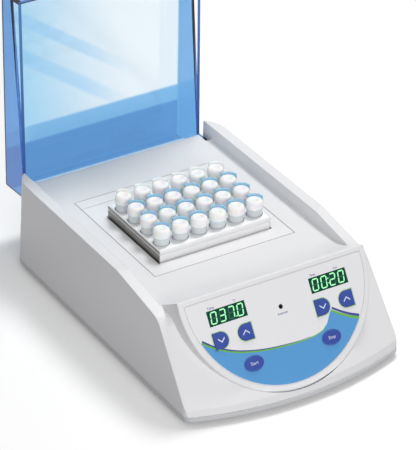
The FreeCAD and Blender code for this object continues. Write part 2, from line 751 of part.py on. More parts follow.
def heater():
    """The well, the heater plate on its mat, and the felt, sensor and cut-out round them."""
    plate_low = block_low - d.heater_thick
    mat_low = plate_low - d.mat_thick
    well_outer = d.well_gap + d.well_wall
    low = d.deck_top - d.plate_thick
    half_x, half_y = well_sides(well_outer)
    sensor_y = d.block_y + half_y - d.sensor_in
    sensor_z = plate_low + d.heater_thick / 2

    def sensor_shape(name, extra=0):
        return rod(name, d.sensor_radius, d.sensor_long + extra, -d.sensor_x, sensor_y, sensor_z, "y")

    walls = about_block("well_outside", well_outer, plate_low, low)
    inside = about_block("well_inside", d.well_gap, plate_low - 1, low + 1)
    well = cut("heater_well", walls, inside, sensor_shape("sensor_port", 1))
    piece(well, "heater_well")
    slab = about_block("heater_slab", d.well_gap, plate_low, block_low)
    piece(cut("heater_plate", slab, sensor_shape("sensor_hole", 1)), "heater_plate")
    piece(about_block("heater_mat", well_outer, mat_low, plate_low), "heater_mat")
    floor_z = rim_z + d.pan_floor
    felt = about_block("felt_outside", well_outer + d.felt_thick, floor_z, d.felt_top)
    felt_inside = about_block("felt_inside", well_outer, mat_low, d.felt_top + 1)
    cutout_z = sensor_z + d.cutout_rise
    reach = d.felt_thick + 1
    cutout_hole = rod("cutout_hole", d.cutout_radius, reach, half_x, d.block_y, cutout_z, "x")
    jacket = cut("insulation_jacket", felt, felt_inside, sensor_shape("sensor_slot", 1), cutout_hole)
    piece(jacket, "insulation_jacket")
    piece(sensor_shape("temperature_sensor"), "temperature_sensor")
    disc = rod("cutout_disc", d.cutout_radius, d.cutout_thick, half_x, d.block_y, cutout_z, "x")
    neck_radius = d.cutout_radius / 2
    neck = rod("cutout_neck_rod", neck_radius, d.cutout_neck, half_x, d.block_y, cutout_z, "x")
    piece(fuse("thermal_cutout", disc, neck), "thermal_cutout")


def bore_places():
    """The middles of the bores, row by row from the front."""
    rows = []
    for j in range(BORE_ROWS):
        y = d.block_y + (j - (BORE_ROWS - 1) / 2) * d.bore_pitch_y
        middle = (BORE_COLUMNS - 1) / 2
        rows.append([((i - middle) * d.bore_pitch_x, y) for i in range(BORE_COLUMNS)])
    return rows


def heating_block():
    """The aluminium block: bevelled top, a groove round it, and flared bores in rows."""
    block = Moulding("block_form")
    half_x, half_y = well_sides(ZERO)
    plan = block.sketch(z=block_low)
    rectangle(plan, -half_x, half_x, d.block_y - half_y, d.block_y + half_y)
    block.grow(plan, d.block_height)
    block.round_edges(d.block_bevel, lambda e: in_line(e, block_top), "Chamfer")
    ring = block.sketch(z=block_top - d.groove_drop)
    for extra in (sized(1), -d.groove_deep):
        side_x, side_y = half_x + extra, half_y + extra
        rectangle(ring, -side_x, side_x, d.block_y - side_y, d.block_y + side_y)
    block.sink(ring, d.groove_high)
    bores = block.sketch(z=block_top)
    for row in bore_places():
        for x, y in row:
            circle(bores, x, y, d.bore_radius)
    block.sink(bores, d.bore_deep)
    block.round_edges(d.bore_flare, lambda e: in_line(e, block_top) and e.Closed, "Chamfer")
    piece(block.body, "heating_block")


def tube_form():
    """One closed tube, turned about its axis: a tapering body, and a wider cap with a domed top."""
    form = Moulding("tube_form")
    side_view = form.sketch("XZ_Plane")
    tip, wide, cap = d.tube_tip, d.tube_radius, d.cap_radius
    shoulder = d.cap_high - d.cap_dome
    outline = [
        (ZERO, -d.bore_deep), (tip, -d.bore_deep), (wide, d.tube_cone - d.bore_deep),
        (wide, d.tube_neck), (cap, d.tube_neck), (cap, shoulder), (d.cap_flat, d.cap_high),
        (ZERO, d.cap_high),
    ]
    bow = ((cap + d.cap_flat) / 2 + d.cap_dome / 4, shoulder + d.cap_dome * 2 / 3)
    polygon(side_view, outline, {5: (bow[0], bow[1], None)})
    turned = form.feature("Revolution", side_view)
    turned.ReferenceAxis = (side_view, ["V_Axis"])
    turned.Angle = 360
    doc.recompute()
    return form.body


def tubes():
    """Rows of closed tubes, each standing on the floor of its bore."""
    form = tube_form()
    for number, row in enumerate(bore_places(), start=1):
        copies = []
        for x, y in row:
            copy = doc.addObject("App::Link", "tube_%d" % number)
            copy.LinkedObject = form
            copies.append(place(copy, x, y, block_top))
        piece(group("tube_row_%d" % number, copies), "tube_row_%d" % number)


KEY_SIDES = {
    "key_temp_down": (-1, "key_outer_x", -1), "key_temp_up": (-1, "key_inner_x", 1),
    "key_time_down": (1, "key_inner_x", -1), "key_time_up": (1, "key_outer_x", 1),
}
OVAL_SIDES = {"key_start": -1, "key_stop": 1}


def key_place(label):
    """How far a key lies to the right of the panel's middle."""
    side, alias, flat_side = KEY_SIDES[label]
    return getattr(d, alias) * side, flat_side


def oval(name, x, drop, extra, low, high):
    """An elliptical block on the panel."""
    line = doc.addObject("Part::Ellipse", name + "_line")
    bind(line, MajorRadius=d.oval_long + extra, MinorRadius=d.oval_short + extra)
    block = doc.addObject("Part::Extrusion", name)
    block.Base = line
    block.DirMode = "Custom"
    block.Dir = Vector(0, 0, 1)
    block.Solid = True
    bind(block, LengthFwd=high - low)
    return place(block, x, -drop, low)


def panel_openings(form, z, window_trim):
    """Cuts the windows, the keys and the jack through a sheet of the panel."""
    holes = form.sketch(z=z)
    half_x = d.window_width / 2 - window_trim
    half_y = d.window_height / 2 - window_trim
    for side in (-1, 1):
        x = d.window_x * side
        rectangle(holes, x - half_x, x + half_x, -d.window_drop - half_y, half_y - d.window_drop)
    for label in KEY_SIDES:
        x, flat_side = key_place(label)
        key_shape(holes, x, d.key_drop, d.key_radius + d.key_gap, flat_side)
    circle(holes, ZERO, -d.jack_drop, d.jack_radius + d.jack_wall)
    form.sink(holes, d.bezel_thick * 2)


def oval_holes(name):
    """The two openings for the start and stop keys."""
    low, high = -d.bezel_thick * 3, d.bezel_thick
    return [oval(name, d.oval_x * side, d.oval_drop, d.key_gap, low, high) for side in (-1, 1)]


def post_places():
    """The six posts that carry the board behind the panel."""
    spots = [
        (d.post_side_x, d.post_side_drop),
        (d.post_low_x, d.post_low_drop),
        (d.post_top_x, d.post_top_drop),
    ]
    return [(x * side, drop) for x, drop in spots for side in (-1, 1)]


def control_bezel():
    """The panel's frame: a rounded rim, a sunk bed for the label, and posts for the board."""
    bezel = Moulding("bezel_form")
    face = bezel.sketch(z=-d.bezel_thick)
    dee(face, d.pod_radius, 0, d.pod_drop)
    bezel.grow(face, d.bezel_thick)
    bezel.round_edges(d.bezel_soft, lambda e: in_line(e, ZERO))
    bed = bezel.sketch()
    dee(bed, d.label_radius, d.label_top, d.pod_drop)
    bezel.sink(bed, d.label_sink)
    panel_openings(bezel, ZERO, d.window_rim)
    steps = bezel.sketch()
    half_x, half_y = d.window_width / 2, d.window_height / 2
    for side in (-1, 1):
        x = d.window_x * side
        rectangle(steps, x - half_x, x + half_x, -d.window_drop - half_y, half_y - d.window_drop)
    bezel.sink(steps, d.window_sink + d.window_thick)
    posts = bezel.sketch(z=-d.bezel_thick)
    for x, drop in post_places():
        circle(posts, x, -drop, d.post_radius)
    bezel.grow(posts, d.board_front - d.bezel_thick, back=True)
    whole = cut("control_bezel", bezel.body, *oval_holes("bezel_oval"))
    piece(on_panel(whole), "control_bezel")


def panel_label():
    """The printed sheet in the bezel's bed, open at the windows, keys and jack."""
    label = Moulding("label_form")
    face = label.sketch(z=-d.label_sink)
    dee(face, d.label_radius - d.label_gap, d.label_top + d.label_gap, d.pod_drop)
    label.grow(face, d.label_thick)
    panel_openings(label, ZERO, ZERO)
    whole = cut("panel_label", label.body, *oval_holes("label_oval"))
    piece(on_panel(whole), "panel_label")


def flat_box(name, x, drop, half_x, half_y, low, high):
    """A box on the panel, by its middle and its two depths."""
    block = box(name, x - half_x, x + half_x, -drop - half_y, half_y - drop, low, high)
    return on_panel(group(name + "_set", [block]))


def displays():
    """The two display windows and the modules behind them."""
    for side, label in ((-1, "temp"), (1, "time")):
        x, drop = d.window_x * side, d.window_drop
        half_x = d.window_width / 2 - d.window_gap
        half_y = d.window_height / 2 - d.window_gap
        top = -d.window_sink
        low = top - d.window_thick
        window = flat_box("window_" + label, x, drop, half_x, half_y, low, top)
        piece(window, "display_window_" + label)
        half_x = d.window_width / 2 - d.window_rim
        half_y = d.window_height / 2 - d.window_rim
        module = flat_box("module_" + label, x, drop, half_x, half_y, -d.board_front, low)
        piece(module, "display_module_" + label)


def keys():
    """Six keys, each a cap in its opening, a flange behind the bezel and a stem."""
    flange_top = -d.bezel_thick - d.flange_gap
    flange_low = flange_top - d.flange_thick
    stem_low = d.tact_thick + d.key_travel + d.key_play - d.board_front
    stem_long = flange_low - stem_low
    for label in KEY_SIDES:
        x, flat_side = key_place(label)
        key = Moulding(label + "_form")
        cap = key.sketch(z=flange_top)
        key_shape(cap, x, d.key_drop, d.key_radius, flat_side)
        key.grow(cap, d.key_proud - flange_top)
        key.round_edges(d.key_soft, lambda e: in_line(e, d.key_proud))
        rim = key.sketch(z=flange_low)
        key_shape(rim, x, d.key_drop, d.key_radius + d.flange_rim, flat_side)
        key.grow(rim, d.flange_thick)
        stem = key.sketch(z=stem_low)
        circle(stem, x, -d.key_drop, d.stem_radius)
        key.grow(stem, stem_long)
        piece(on_panel(key.body), label)
    for label, side in OVAL_SIDES.items():
        x, drop = d.oval_x * side, d.oval_drop
        cap = oval(label + "_cap", x, drop, ZERO, flange_top, d.key_proud)
        rim = oval(label + "_rim", x, drop, d.flange_rim, flange_low, flange_top)
        stem = rod(label + "_stem", d.stem_radius, stem_long, x, -drop, stem_low)
        piece(on_panel(fuse(label, cap, rim, stem)), label)


def control_board():
    """The board behind the panel, its six small switches and the probe jack."""
    board = Moulding("board_form")
    face = board.sketch(z=-d.board_front - d.board_thick)
    dee(face, d.board_radius, d.board_top, d.pod_drop)
    board.grow(face, d.board_thick)
    piece(on_panel(board.body), "control_board")
    spots = {label: (key_place(label)[0], d.key_drop) for label in KEY_SIDES}
    spots.update({label: (d.oval_x * side, d.oval_drop) for label, side in OVAL_SIDES.items()})
    low = -d.board_front
    half = d.tact_half
    top = low + d.tact_thick - d.tact_button
    for label, (x, drop) in spots.items():
        case = box("tact_case", x - half, x + half, -drop - half, half - drop, low, top)
        button = rod("tact_button_rod", half / 2, d.tact_button, x, -drop, top)
        piece(on_panel(fuse("tact_" + label, case, button)), label.replace("key", "tact"))
    outer = d.jack_radius + d.jack_wall
    sleeve = rod("jack_sleeve", outer, d.board_front - d.label_sink, ZERO, -d.jack_drop, low)
    bore = rod("jack_bore", d.jack_radius, d.board_front, ZERO, -d.jack_drop, low + d.jack_floor)
    piece(on_panel(cut("probe_jack", sleeve, bore)), "probe_jack")


def power_board():
    """The board behind the well, with a power module, two capacitors and a heat sink."""
    left, near = -d.power_x, d.power_y
    low = rim_z + d.pan_floor + d.power_lift
    top = low + d.board_thick
    board = box("power_sheet", left, left + d.power_wide, near, near + d.power_long, low, top)
    piece(board, "power_board")
    x, y = left + d.module_x, near + d.module_y
    module = box("module_case", x, x + d.module_wide, y, y + d.module_long, top, top + d.module_high)
    piece(module, "power_module")
    for number in (1, 2):
        x = left + d.can_x + (number - 1) * d.can_pitch
        can = rod("can_%d" % number, d.can_radius, d.can_high, x, near + d.can_y, top)
        piece(can, "capacitor_%d" % number)
    x, y = left + d.sink_x, near + d.sink_y
    back, high = y + d.sink_thick, top + d.sink_high
    fins = [box("sink_base", x, x + d.sink_wide, y, back, top, high)]
    for i in range(FINS):
        fin_x = x + d.fin_inset + i * d.fin_pitch
        fins.append(box("sink_fin", fin_x, fin_x + d.fin_thick, back, back + d.fin_deep, top, high))
    piece(fuse("heat_sink", *fins), "heat_sink")


def rear_box(name, x, z, half_x, half_z, near, far):
    """A box on the rear face, by its middle, its half sizes and how deep it runs."""
    return box(name, x - half_x, x + half_x, near, far, z - half_z, z + half_z)


def mains_entry():
    """The socket with its blades and its fuse drawer, on the rear face."""
    face_y = d.rear_reach + d.flange_proud
    past_y = face_y + 1
    x, z, trim = d.inlet_x, d.inlet_z, d.seat_rim + d.seat_gap
    half_x, half_z = d.inlet_half_x, d.inlet_half_z
    flange = rear_box("inlet_flange", x, z, half_x, half_z, seat_y, face_y)
    deep = seat_y - d.inlet_deep
    shell = rear_box("inlet_shell", x, z, half_x - trim, half_z - trim, deep, seat_y)
    socket_z = z + d.socket_rise
    socket_y = face_y - d.socket_deep
    half_x, half_z = d.socket_half_x, d.socket_half_z
    socket = rear_box("inlet_socket", x, socket_z, half_x, half_z, socket_y, past_y)
    drawer_z = z - d.drawer_drop
    drawer_y = face_y - d.drawer_deep
    half_x, half_z, gap = d.drawer_half_x, d.drawer_half_z, d.drawer_gap
    hole = rear_box("drawer_hole", x, drawer_z, half_x + gap, half_z + gap, drawer_y, past_y)
    piece(cut("mains_inlet", fuse("inlet_body", flange, shell), socket, hole), "mains_inlet")
    blades = []
    for side, rise in ((-1, -1), (1, -1), (0, 1)):
        blade_x, blade_z = x + d.blade_x * side, socket_z + d.blade_z * rise
        half_x, half_z = d.blade_half_x, d.blade_half_z
        end = socket_y + d.blade_long
        blades.append(rear_box("blade", blade_x, blade_z, half_x, half_z, socket_y, end))
    piece(group("inlet_pins", blades), "inlet_pins")
    half_x, half_z = d.drawer_half_x, d.drawer_half_z
    front = rear_box("drawer_front", x, drawer_z, half_x, half_z, drawer_y, face_y)
    grip_z, half_z = drawer_z + d.grip_rise, d.grip_thick / 2
    grip = rear_box("drawer_grip", x, grip_z, d.grip_half_x, half_z, seat_y, face_y + d.grip_proud)
    piece(fuse("fuse_drawer", front, grip), "fuse_drawer")


def switch():
    """The mains switch on the rear face: a case with a well, and a rocker with a dished face."""
    x, z, trim = d.switch_x, d.inlet_z, d.seat_rim + d.seat_gap
    face_y = d.rear_reach + d.flange_proud
    half_x, half_z = d.switch_half_x, d.switch_half_z
    rim = rear_box("switch_rim", x, z, half_x, half_z, seat_y, face_y)
    deep = seat_y - d.switch_deep
    case = rear_box("switch_case", x, z, half_x - trim, half_z - trim, deep, seat_y)
    room_x, room_z = d.rocker_half_x + d.rocker_room, d.rocker_half_z + d.rocker_gap
    well = rear_box("switch_room", x, z, room_x, room_z, seat_y - d.switch_well, face_y + 1)
    piece(cut("switch_body", fuse("switch_shell", rim, case), well), "switch_body")
    rocker = Moulding("rocker_form")
    side_view = rocker.sketch()
    reach, high = d.rocker_half_x, d.rocker_high
    dip = high - d.rocker_dip
    outline = [(-reach, ZERO), (reach, ZERO), (reach, high), (ZERO, dip), (-reach, high)]
    polygon(side_view, outline)
    rocker.grow(side_view, d.rocker_half_z * 2)
    rocker_y = seat_y - d.rocker_behind
    low = z - d.rocker_half_z
    place(rocker.body, x, rocker_y, low, Vector(0, 0, -1), d.rocker_angle)
    piece(rocker.body, "switch_rocker")


def lid():
    """The clear lid: a shallow tapering box with a front lip and an eye at each hinge."""
    shell = Moulding("lid_form")
    rear, front = d.lid_rear, -d.lid_front
    wall = d.lid_wall
    outline = [
        (rear, d.lid_edge_z), (rear, d.lid_rear_z), (front, d.lid_front_z), (front, -d.lid_lip_z),
        (front + wall, -d.lid_lip_z), (front + wall, d.lid_edge_z),
    ]
    side_view = shell.sketch("YZ_Plane")
    polygon(side_view, outline)
    shell.grow(side_view, d.lid_width, both=True)
    shell.round_edges(d.lid_round, lid_outer_edge)
    slope = (d.lid_rear_z - d.lid_front_z) / (rear - front)
    inner_rear_z = d.lid_rear_z - wall * slope - wall
    inner_front_z = d.lid_front_z + wall * slope - wall
    hollow = shell.sketch("YZ_Plane")
    below = -d.lid_lip_z - d.tool_past
    inner_rear, inner_front = rear - wall, front + wall
    hollow_corners = [
        (inner_rear, below), (inner_rear, inner_rear_z),
        (inner_front, inner_front_z), (inner_front, below),
    ]
    polygon(hollow, hollow_corners)
    shell.sink(hollow, d.lid_width - wall * 2, both=True)
    for start in (-d.lid_width / 2, d.lid_width / 2 - wall):
        eye = shell.sketch("YZ_Plane", z=start)
        circle(eye, ZERO, ZERO, d.hinge_eye_radius)
        shell.grow(eye, wall)
        web = shell.sketch("YZ_Plane", z=start)
        rectangle(web, -d.hinge_eye_radius, d.hinge_eye_radius, ZERO, d.lid_edge_z)
        shell.grow(web, wall)
    bore = shell.sketch("YZ_Plane")
    circle(bore, ZERO, ZERO, d.pin_radius + d.pin_gap)
    shell.sink(bore, d.lid_width + 2, both=True)
    place(shell.body, 0, hinge_y, hinge_z, Vector(-1, 0, 0), d.lid_open_angle)
    piece(shell.body, "lid")


def lid_outer_edge(edge):
    """The long edges round the lid's top and its upright corners."""
    limits = edge.BoundBox
    half = d.lid_width.value / 2
    across = abs(limits.XLength - half * 2) < 0.1 and limits.ZMax > d.lid_edge_z.value + 1
    along = limits.YLength > 100 and limits.ZMax > d.lid_edge_z.value + 1
    corner = limits.ZLength > 20 and limits.YLength < 1
    return across or along or corner


def hinge_pins():
    """The two pins that the lid's eyes turn on."""
    pin_in = slot_in + d.pin_inset
    length = cheek_in + d.pin_grip - pin_in
    for side, start in (("right", pin_in), ("left", -pin_in - length)):
        pin = rod("pin_" + side, d.pin_radius, length, start, hinge_y, hinge_z, "x")
        piece(pin, "hinge_pin_" + side)


upper_housing()
base_pan()
feet()
block_surround()
heater()
heating_block()
tubes()
control_bezel()
panel_label()
displays()
keys()
control_board()
power_board()
mains_entry()
switch()
lid()
hinge_pins()
doc.recompute()
for thing in doc.Objects:
    if any(flag in ("Invalid", "Error") for flag in thing.State):
        raise RuntimeError("%s is %s" % (thing.Name, thing.State))
os.makedirs("parts", exist_ok=True)
for thing in PIECES:
    if thing.Shape.isNull() or not thing.Shape.isValid():
        raise RuntimeError("%s has no sound shape" % thing.Label)
    thing.Shape.exportStep("parts/%s.step" % thing.Label)
print(len(PIECES), "sub-parts written")
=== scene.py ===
# %% [markdown]
# A dry bath incubator keeps small tubes at a set temperature in a metal block. This lesson dresses
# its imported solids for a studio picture. The solids are already the right size and in the right
# place, so nothing here moves them: they get their finishes, and what the solids don't hold, such
# as print, digits and the caps' tabs, is laid on them. Doing the shapes first and the looks second
# means that a change of finish never spoils a fit.

# %% Load the solids
import math
import bpy
from mathutils import Matrix, Vector


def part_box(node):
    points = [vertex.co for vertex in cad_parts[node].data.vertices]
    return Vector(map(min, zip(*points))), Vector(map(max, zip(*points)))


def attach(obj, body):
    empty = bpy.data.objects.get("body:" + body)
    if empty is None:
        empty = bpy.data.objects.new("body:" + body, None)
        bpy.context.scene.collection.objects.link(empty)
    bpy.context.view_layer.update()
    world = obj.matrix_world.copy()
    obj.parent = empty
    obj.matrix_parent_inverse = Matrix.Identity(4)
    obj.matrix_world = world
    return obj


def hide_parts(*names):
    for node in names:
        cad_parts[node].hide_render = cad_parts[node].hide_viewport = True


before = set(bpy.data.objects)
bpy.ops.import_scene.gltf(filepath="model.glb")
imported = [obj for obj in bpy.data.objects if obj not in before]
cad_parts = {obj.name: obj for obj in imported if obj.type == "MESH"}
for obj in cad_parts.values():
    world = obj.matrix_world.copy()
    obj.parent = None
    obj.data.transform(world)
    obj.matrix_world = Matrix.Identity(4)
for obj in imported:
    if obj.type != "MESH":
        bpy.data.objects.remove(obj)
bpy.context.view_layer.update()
MM = 0.001

# %% [markdown]
# The camera comes before any piece, because it decides how much detail a surface needs. A long
# lens from two metres keeps the upright lines nearly parallel, as in catalogue pictures. The
# direction is built from an angle round the object, an angle above the table and a small roll.

# %% Camera
CAMERA_ROUND = math.radians(-31.26)
CAMERA_ABOVE = math.radians(31.23)
CAMERA_ROLL = math.radians(0.18)
CAMERA_AWAY = 2.14215
CAMERA_TARGET = Vector((9.45, -2.54, 65.7)) * MM
FRAME_HIGH_PIXELS = 450
FOCAL_PIXELS = 2874.94
SENSOR_HIGH = 24.0
SEES_AS_FAR_AS = 20


def deselect():
    """An operator acts on all that is selected, so each new thing starts from nothing."""
    bpy.ops.object.select_all(action="DESELECT")


def camera_axes():
    """The camera's right, up and backward directions."""
    flat, steep = CAMERA_ROUND, CAMERA_ABOVE
    level = math.cos(steep)
    back = Vector((math.sin(flat) * level, -math.cos(flat) * level, math.sin(steep)))
    right = Vector((math.cos(flat), math.sin(flat), 0))
    up = back.cross(right)
    right = right * math.cos(CAMERA_ROLL) + up * math.sin(CAMERA_ROLL)
    return right, back.cross(right), back


deselect()
bpy.ops.object.camera_add()
camera = bpy.context.object
camera.name = "catalogue_camera"
right, up, back = camera_axes()
turn = Matrix((right, up, back)).transposed().to_4x4()
camera.matrix_world = Matrix.Translation(CAMERA_TARGET + back * CAMERA_AWAY) @ turn
camera.data.sensor_fit = "VERTICAL"
camera.data.sensor_height = SENSOR_HIGH
camera.data.lens = FOCAL_PIXELS / FRAME_HIGH_PIXELS * SENSOR_HIGH
camera.data.clip_end = SEES_AS_FAR_AS
bpy.context.scene.camera = camera
print("camera with a lens of", round(camera.data.lens, 1), "mm")

# %% [markdown]
# Shader maths reads best as sums. Each node tree is a graph, but the person who tunes a finish
# thinks in masks and amounts. So one small class wraps a socket and turns +, - and * into Math
# nodes, and a second class holds one material and makes every other node through one method.

# %% Shader maths as sums
class Amount:
    """A number that varies over a surface: a node's output socket with ordinary arithmetic."""

    def __init__(self, finish, socket):
        self.finish = finish
        self.socket = socket

    def maths(self, operation, first, second=0.0):
        made = self.finish.node(
            "ShaderNodeMath", {"operation": operation}, {0: first, 1: second}
        )
        return Amount(self.finish, made.outputs[0])

    def __add__(self, other):
        return self.maths("ADD", self, other)

    def __radd__(self, other):
        return self.maths("ADD", other, self)

    def __sub__(self, other):
        return self.maths("SUBTRACT", self, other)

    def __rsub__(self, other):
        return self.maths("SUBTRACT", other, self)

    def __mul__(self, other):
        return self.maths("MULTIPLY", self, other)

    def __rmul__(self, other):
        return self.maths("MULTIPLY", other, self)

    def largest(self, other):
        return self.maths("MAXIMUM", self, other)

    def size(self):
        return self.maths("ABSOLUTE", self)

    def step(self, low, high):
        """0 below low, 1 above high and a smooth rise between."""
        made = self.finish.node(
            "ShaderNodeMapRange",
            {"interpolation_type": "SMOOTHSTEP"},
            {"Value": self, "From Min": low, "From Max": high},
        )
        return Amount(self.finish, made.outputs[0])


# %% [markdown]
# Every finish starts from the Principled shader, whose sockets already describe plastic, metal and
# glass. Numbers that are the same all over stay on its own sockets. Only what changes over the
# surface is linked, because those links are what an export has to bake.

# %% Materials
def linear(red, green, blue):
    """Screen colours from 0 to 255 as the linear values that a shader wants."""
    values = []
    for channel in (red, green, blue):
        c = channel / 255
        values.append(c / 12.92 if c <= 0.04045 else ((c + 0.055) / 1.055) ** 2.4)
    return (*values, 1.0)


EDGE_SAMPLES = 6


class Finish:
    """One material, made node by node."""

    def __init__(self, name, colour, **constants):
        self.material = bpy.data.materials.new(name)
        self.material.use_nodes = True
        self.tree = self.material.node_tree
        self.shader = self.tree.nodes["Principled BSDF"]
        self.shader.inputs["Base Color"].default_value = colour
        for socket, number in constants.items():
            self.shader.inputs[socket.replace("_", " ")].default_value = number
        self.place = self.node("ShaderNodeTexCoord").outputs["Object"]

    def node(self, kind, settings=None, inputs=None):
        """Adds a node: its settings first, then the numbers or links of its sockets."""
        made = self.tree.nodes.new(kind)
        for setting, choice in (settings or {}).items():
            setattr(made, setting, choice)
        for socket, given in (inputs or {}).items():
            given = given.socket if isinstance(given, Amount) else given
            if isinstance(given, bpy.types.NodeSocket):
                self.tree.links.new(given, made.inputs[socket])
            else:
                made.inputs[socket].default_value = given
        return made

    def axes(self):
        """The surface point's x, y and z in metres."""
        parts = self.node("ShaderNodeSeparateXYZ", {}, {0: self.place})
        return [Amount(self, part) for part in parts.outputs]

    def stretched(self, scale):
        """The surface point, scaled along each axis before a pattern reads it."""
        inputs = {"Vector": self.place, "Scale": scale}
        return self.node("ShaderNodeMapping", {}, inputs).outputs[0]

    def noise(self, scale, detail=2.0, roughness=0.5, vector=None):
        """Soft irregular variation between 0 and 1; scale is in patches per metre."""
        inputs = {"Scale": scale, "Detail": detail, "Roughness": roughness}
        inputs["Vector"] = vector or self.place
        made = self.node("ShaderNodeTexNoise", {"noise_dimensions": "3D"}, inputs)
        return Amount(self, made.outputs[0])

    def blend(self, amount, first, second):
        """One colour where amount is 0 and another where it is 1.

        A Mix node keeps its colours on inputs 6 and 7 and on output 2.
        """
        inputs = {0: amount, 6: first, 7: second}
        return self.node("ShaderNodeMix", {"data_type": "RGBA"}, inputs).outputs[2]

    def feed(self, socket, given):
        given = given.socket if isinstance(given, Amount) else given
        self.tree.links.new(given, self.shader.inputs[socket])

    def bump(self, height, deep, rounded=0.0):
        """Small relief: height runs from 0 to 1, and deep is how much that is in mm.

        rounded is the radius, in mm, that the light sees on every sharp edge.
        """
        inputs = {"Height": height, "Distance": deep * MM}
        if rounded:
            settings = {"samples": EDGE_SAMPLES}
            edges = self.node("ShaderNodeBevel", settings, {"Radius": rounded * MM})
            inputs["Normal"] = edges.outputs[0]
        self.feed("Normal", self.node("ShaderNodeBump", {}, inputs).outputs[0])


def dress(finish, *names):
    """Gives solids a finish without touching their shape."""
    for name in names:
        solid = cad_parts[name]
        solid.data.materials.clear()
        solid.data.materials.append(finish.material)
    print(finish.material.name, "on", ", ".join(names))


# %% [markdown]
# The housing is an off-white moulding. Up close such plastic has a fine spark-eroded grain that
# breaks up its highlights, and it is never quite one tone. A two-scale noise drives a bump a few
# hundredths of a millimetre deep, and a slower one shifts tone and gloss by a few percent. No
# mould leaves a sharp edge, so a Bevel node also turns the light over every edge as a small
# radius would. Grain and radius are given in millimetres.

# %% Moulded plastics
def moulded(name, colour, darker, roughness, grain_deep, rounded):
    finish = Finish(name, colour, Roughness=roughness, IOR=1.5)
    tone = finish.noise(14, 3, 0.6)
    finish.feed("Base Color", finish.blend(tone, darker, colour))
    grain = finish.noise(2600, 2, 0.6)
    wave = finish.noise(160, 2, 0.5)
    finish.feed("Roughness", roughness - 0.05 + tone * 0.06 + grain * 0.04)
    finish.bump(grain * 0.75 + wave * 0.25, grain_deep, rounded)
    return finish


housing_plastic = moulded(
    "housing_plastic", linear(238, 238, 239), linear(233, 233, 235), 0.42, 0.02, 0.9
)
pan_plastic = moulded(
    "pan_plastic", linear(214, 215, 217), linear(206, 207, 210), 0.48, 0.03, 0.8
)
black_plastic = moulded(
    "black_plastic", linear(24, 24, 26), linear(18, 18, 20), 0.38, 0.03, 0.4
)
dark_part = moulded(
    "dark_part", linear(34, 35, 38), linear(26, 27, 30), 0.5, 0.02, 0.3
)
dress(housing_plastic, "upper_housing", "control_bezel")
dress(pan_plastic, "base_pan")
dress(black_plastic, "mains_inlet", "fuse_drawer", "switch_body", "switch_rocker")
dress(dark_part, "power_module", "capacitor_1", "capacitor_2", "probe_jack")

# %% [markdown]
# The feet are rubber, with a patchy dusty bloom over their dark tone. The mat under the heater
# is silicone and the jacket round the well is pressed glass felt. They are mostly hidden, but an
# open cover would show them, so each has its own texture.

# %% Soft parts
foot_rubber = Finish("foot_rubber", linear(34, 34, 36), Roughness=0.8)
bloom = foot_rubber.noise(420, 4, 0.6)
foot_rubber.feed("Base Color", foot_rubber.blend(bloom, linear(28, 28, 30), linear(52, 52, 54)))
foot_rubber.bump(foot_rubber.noise(3000, 2), 0.04)
feet = [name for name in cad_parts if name.startswith("foot_")]
dress(foot_rubber, *feet)

mat_rubber = Finish("mat_rubber", linear(205, 110, 72), Roughness=0.7)
patches = mat_rubber.noise(90)
mat_rubber.feed(
    "Base Color", mat_rubber.blend(patches, linear(190, 98, 62), linear(212, 120, 82))
)
mat_rubber.bump(mat_rubber.noise(2000), 0.03)
dress(mat_rubber, "heater_mat")

felt = Finish("felt", linear(222, 216, 200), Roughness=0.95)
fibres = felt.noise(900, 6, 0.75, felt.stretched((1, 1, 0.25)))
felt.feed("Base Color", felt.blend(fibres, linear(200, 193, 174), linear(236, 231, 218)))
felt.bump(fibres, 0.3)
dress(felt, "insulation_jacket")

# %% [markdown]
# Rolled and drawn metal has a fine brushed face. Brushing is a noise that is stretched many times
# along one axis, so that each patch becomes a hair line. It feeds the roughness and a very shallow
# bump, and the metal itself hardly changes its colour.

# %% Metals
def brushed(name, colour, darker, roughness, scale, deep):
    finish = Finish(name, colour, Metallic=1.0, Roughness=roughness)
    lines = finish.noise(1, 3, 0.65, finish.stretched(scale))
    cloud = finish.noise(35, 2)
    finish.feed("Base Color", finish.blend(lines * 0.6 + cloud * 0.4, darker, colour))
    finish.feed("Roughness", roughness - 0.08 + lines * 0.16)
    finish.bump(lines, deep)
    return finish


well_metal = brushed(
    "well_metal", linear(196, 198, 202), linear(170, 172, 177), 0.42, (2600, 2600, 60), 0.02
)
bright_metal = brushed(
    "bright_metal", linear(214, 215, 219), linear(190, 191, 196), 0.22, (80, 3000, 3000), 0.01
)
brass = brushed(
    "brass", linear(224, 190, 120), linear(200, 164, 96), 0.26, (2600, 60, 2600), 0.01
)
dress(well_metal, "heater_well", "heater_plate", "heat_sink")
dress(bright_metal, "hinge_pin_left", "hinge_pin_right", "temperature_sensor", "thermal_cutout")
dress(brass, "inlet_pins")
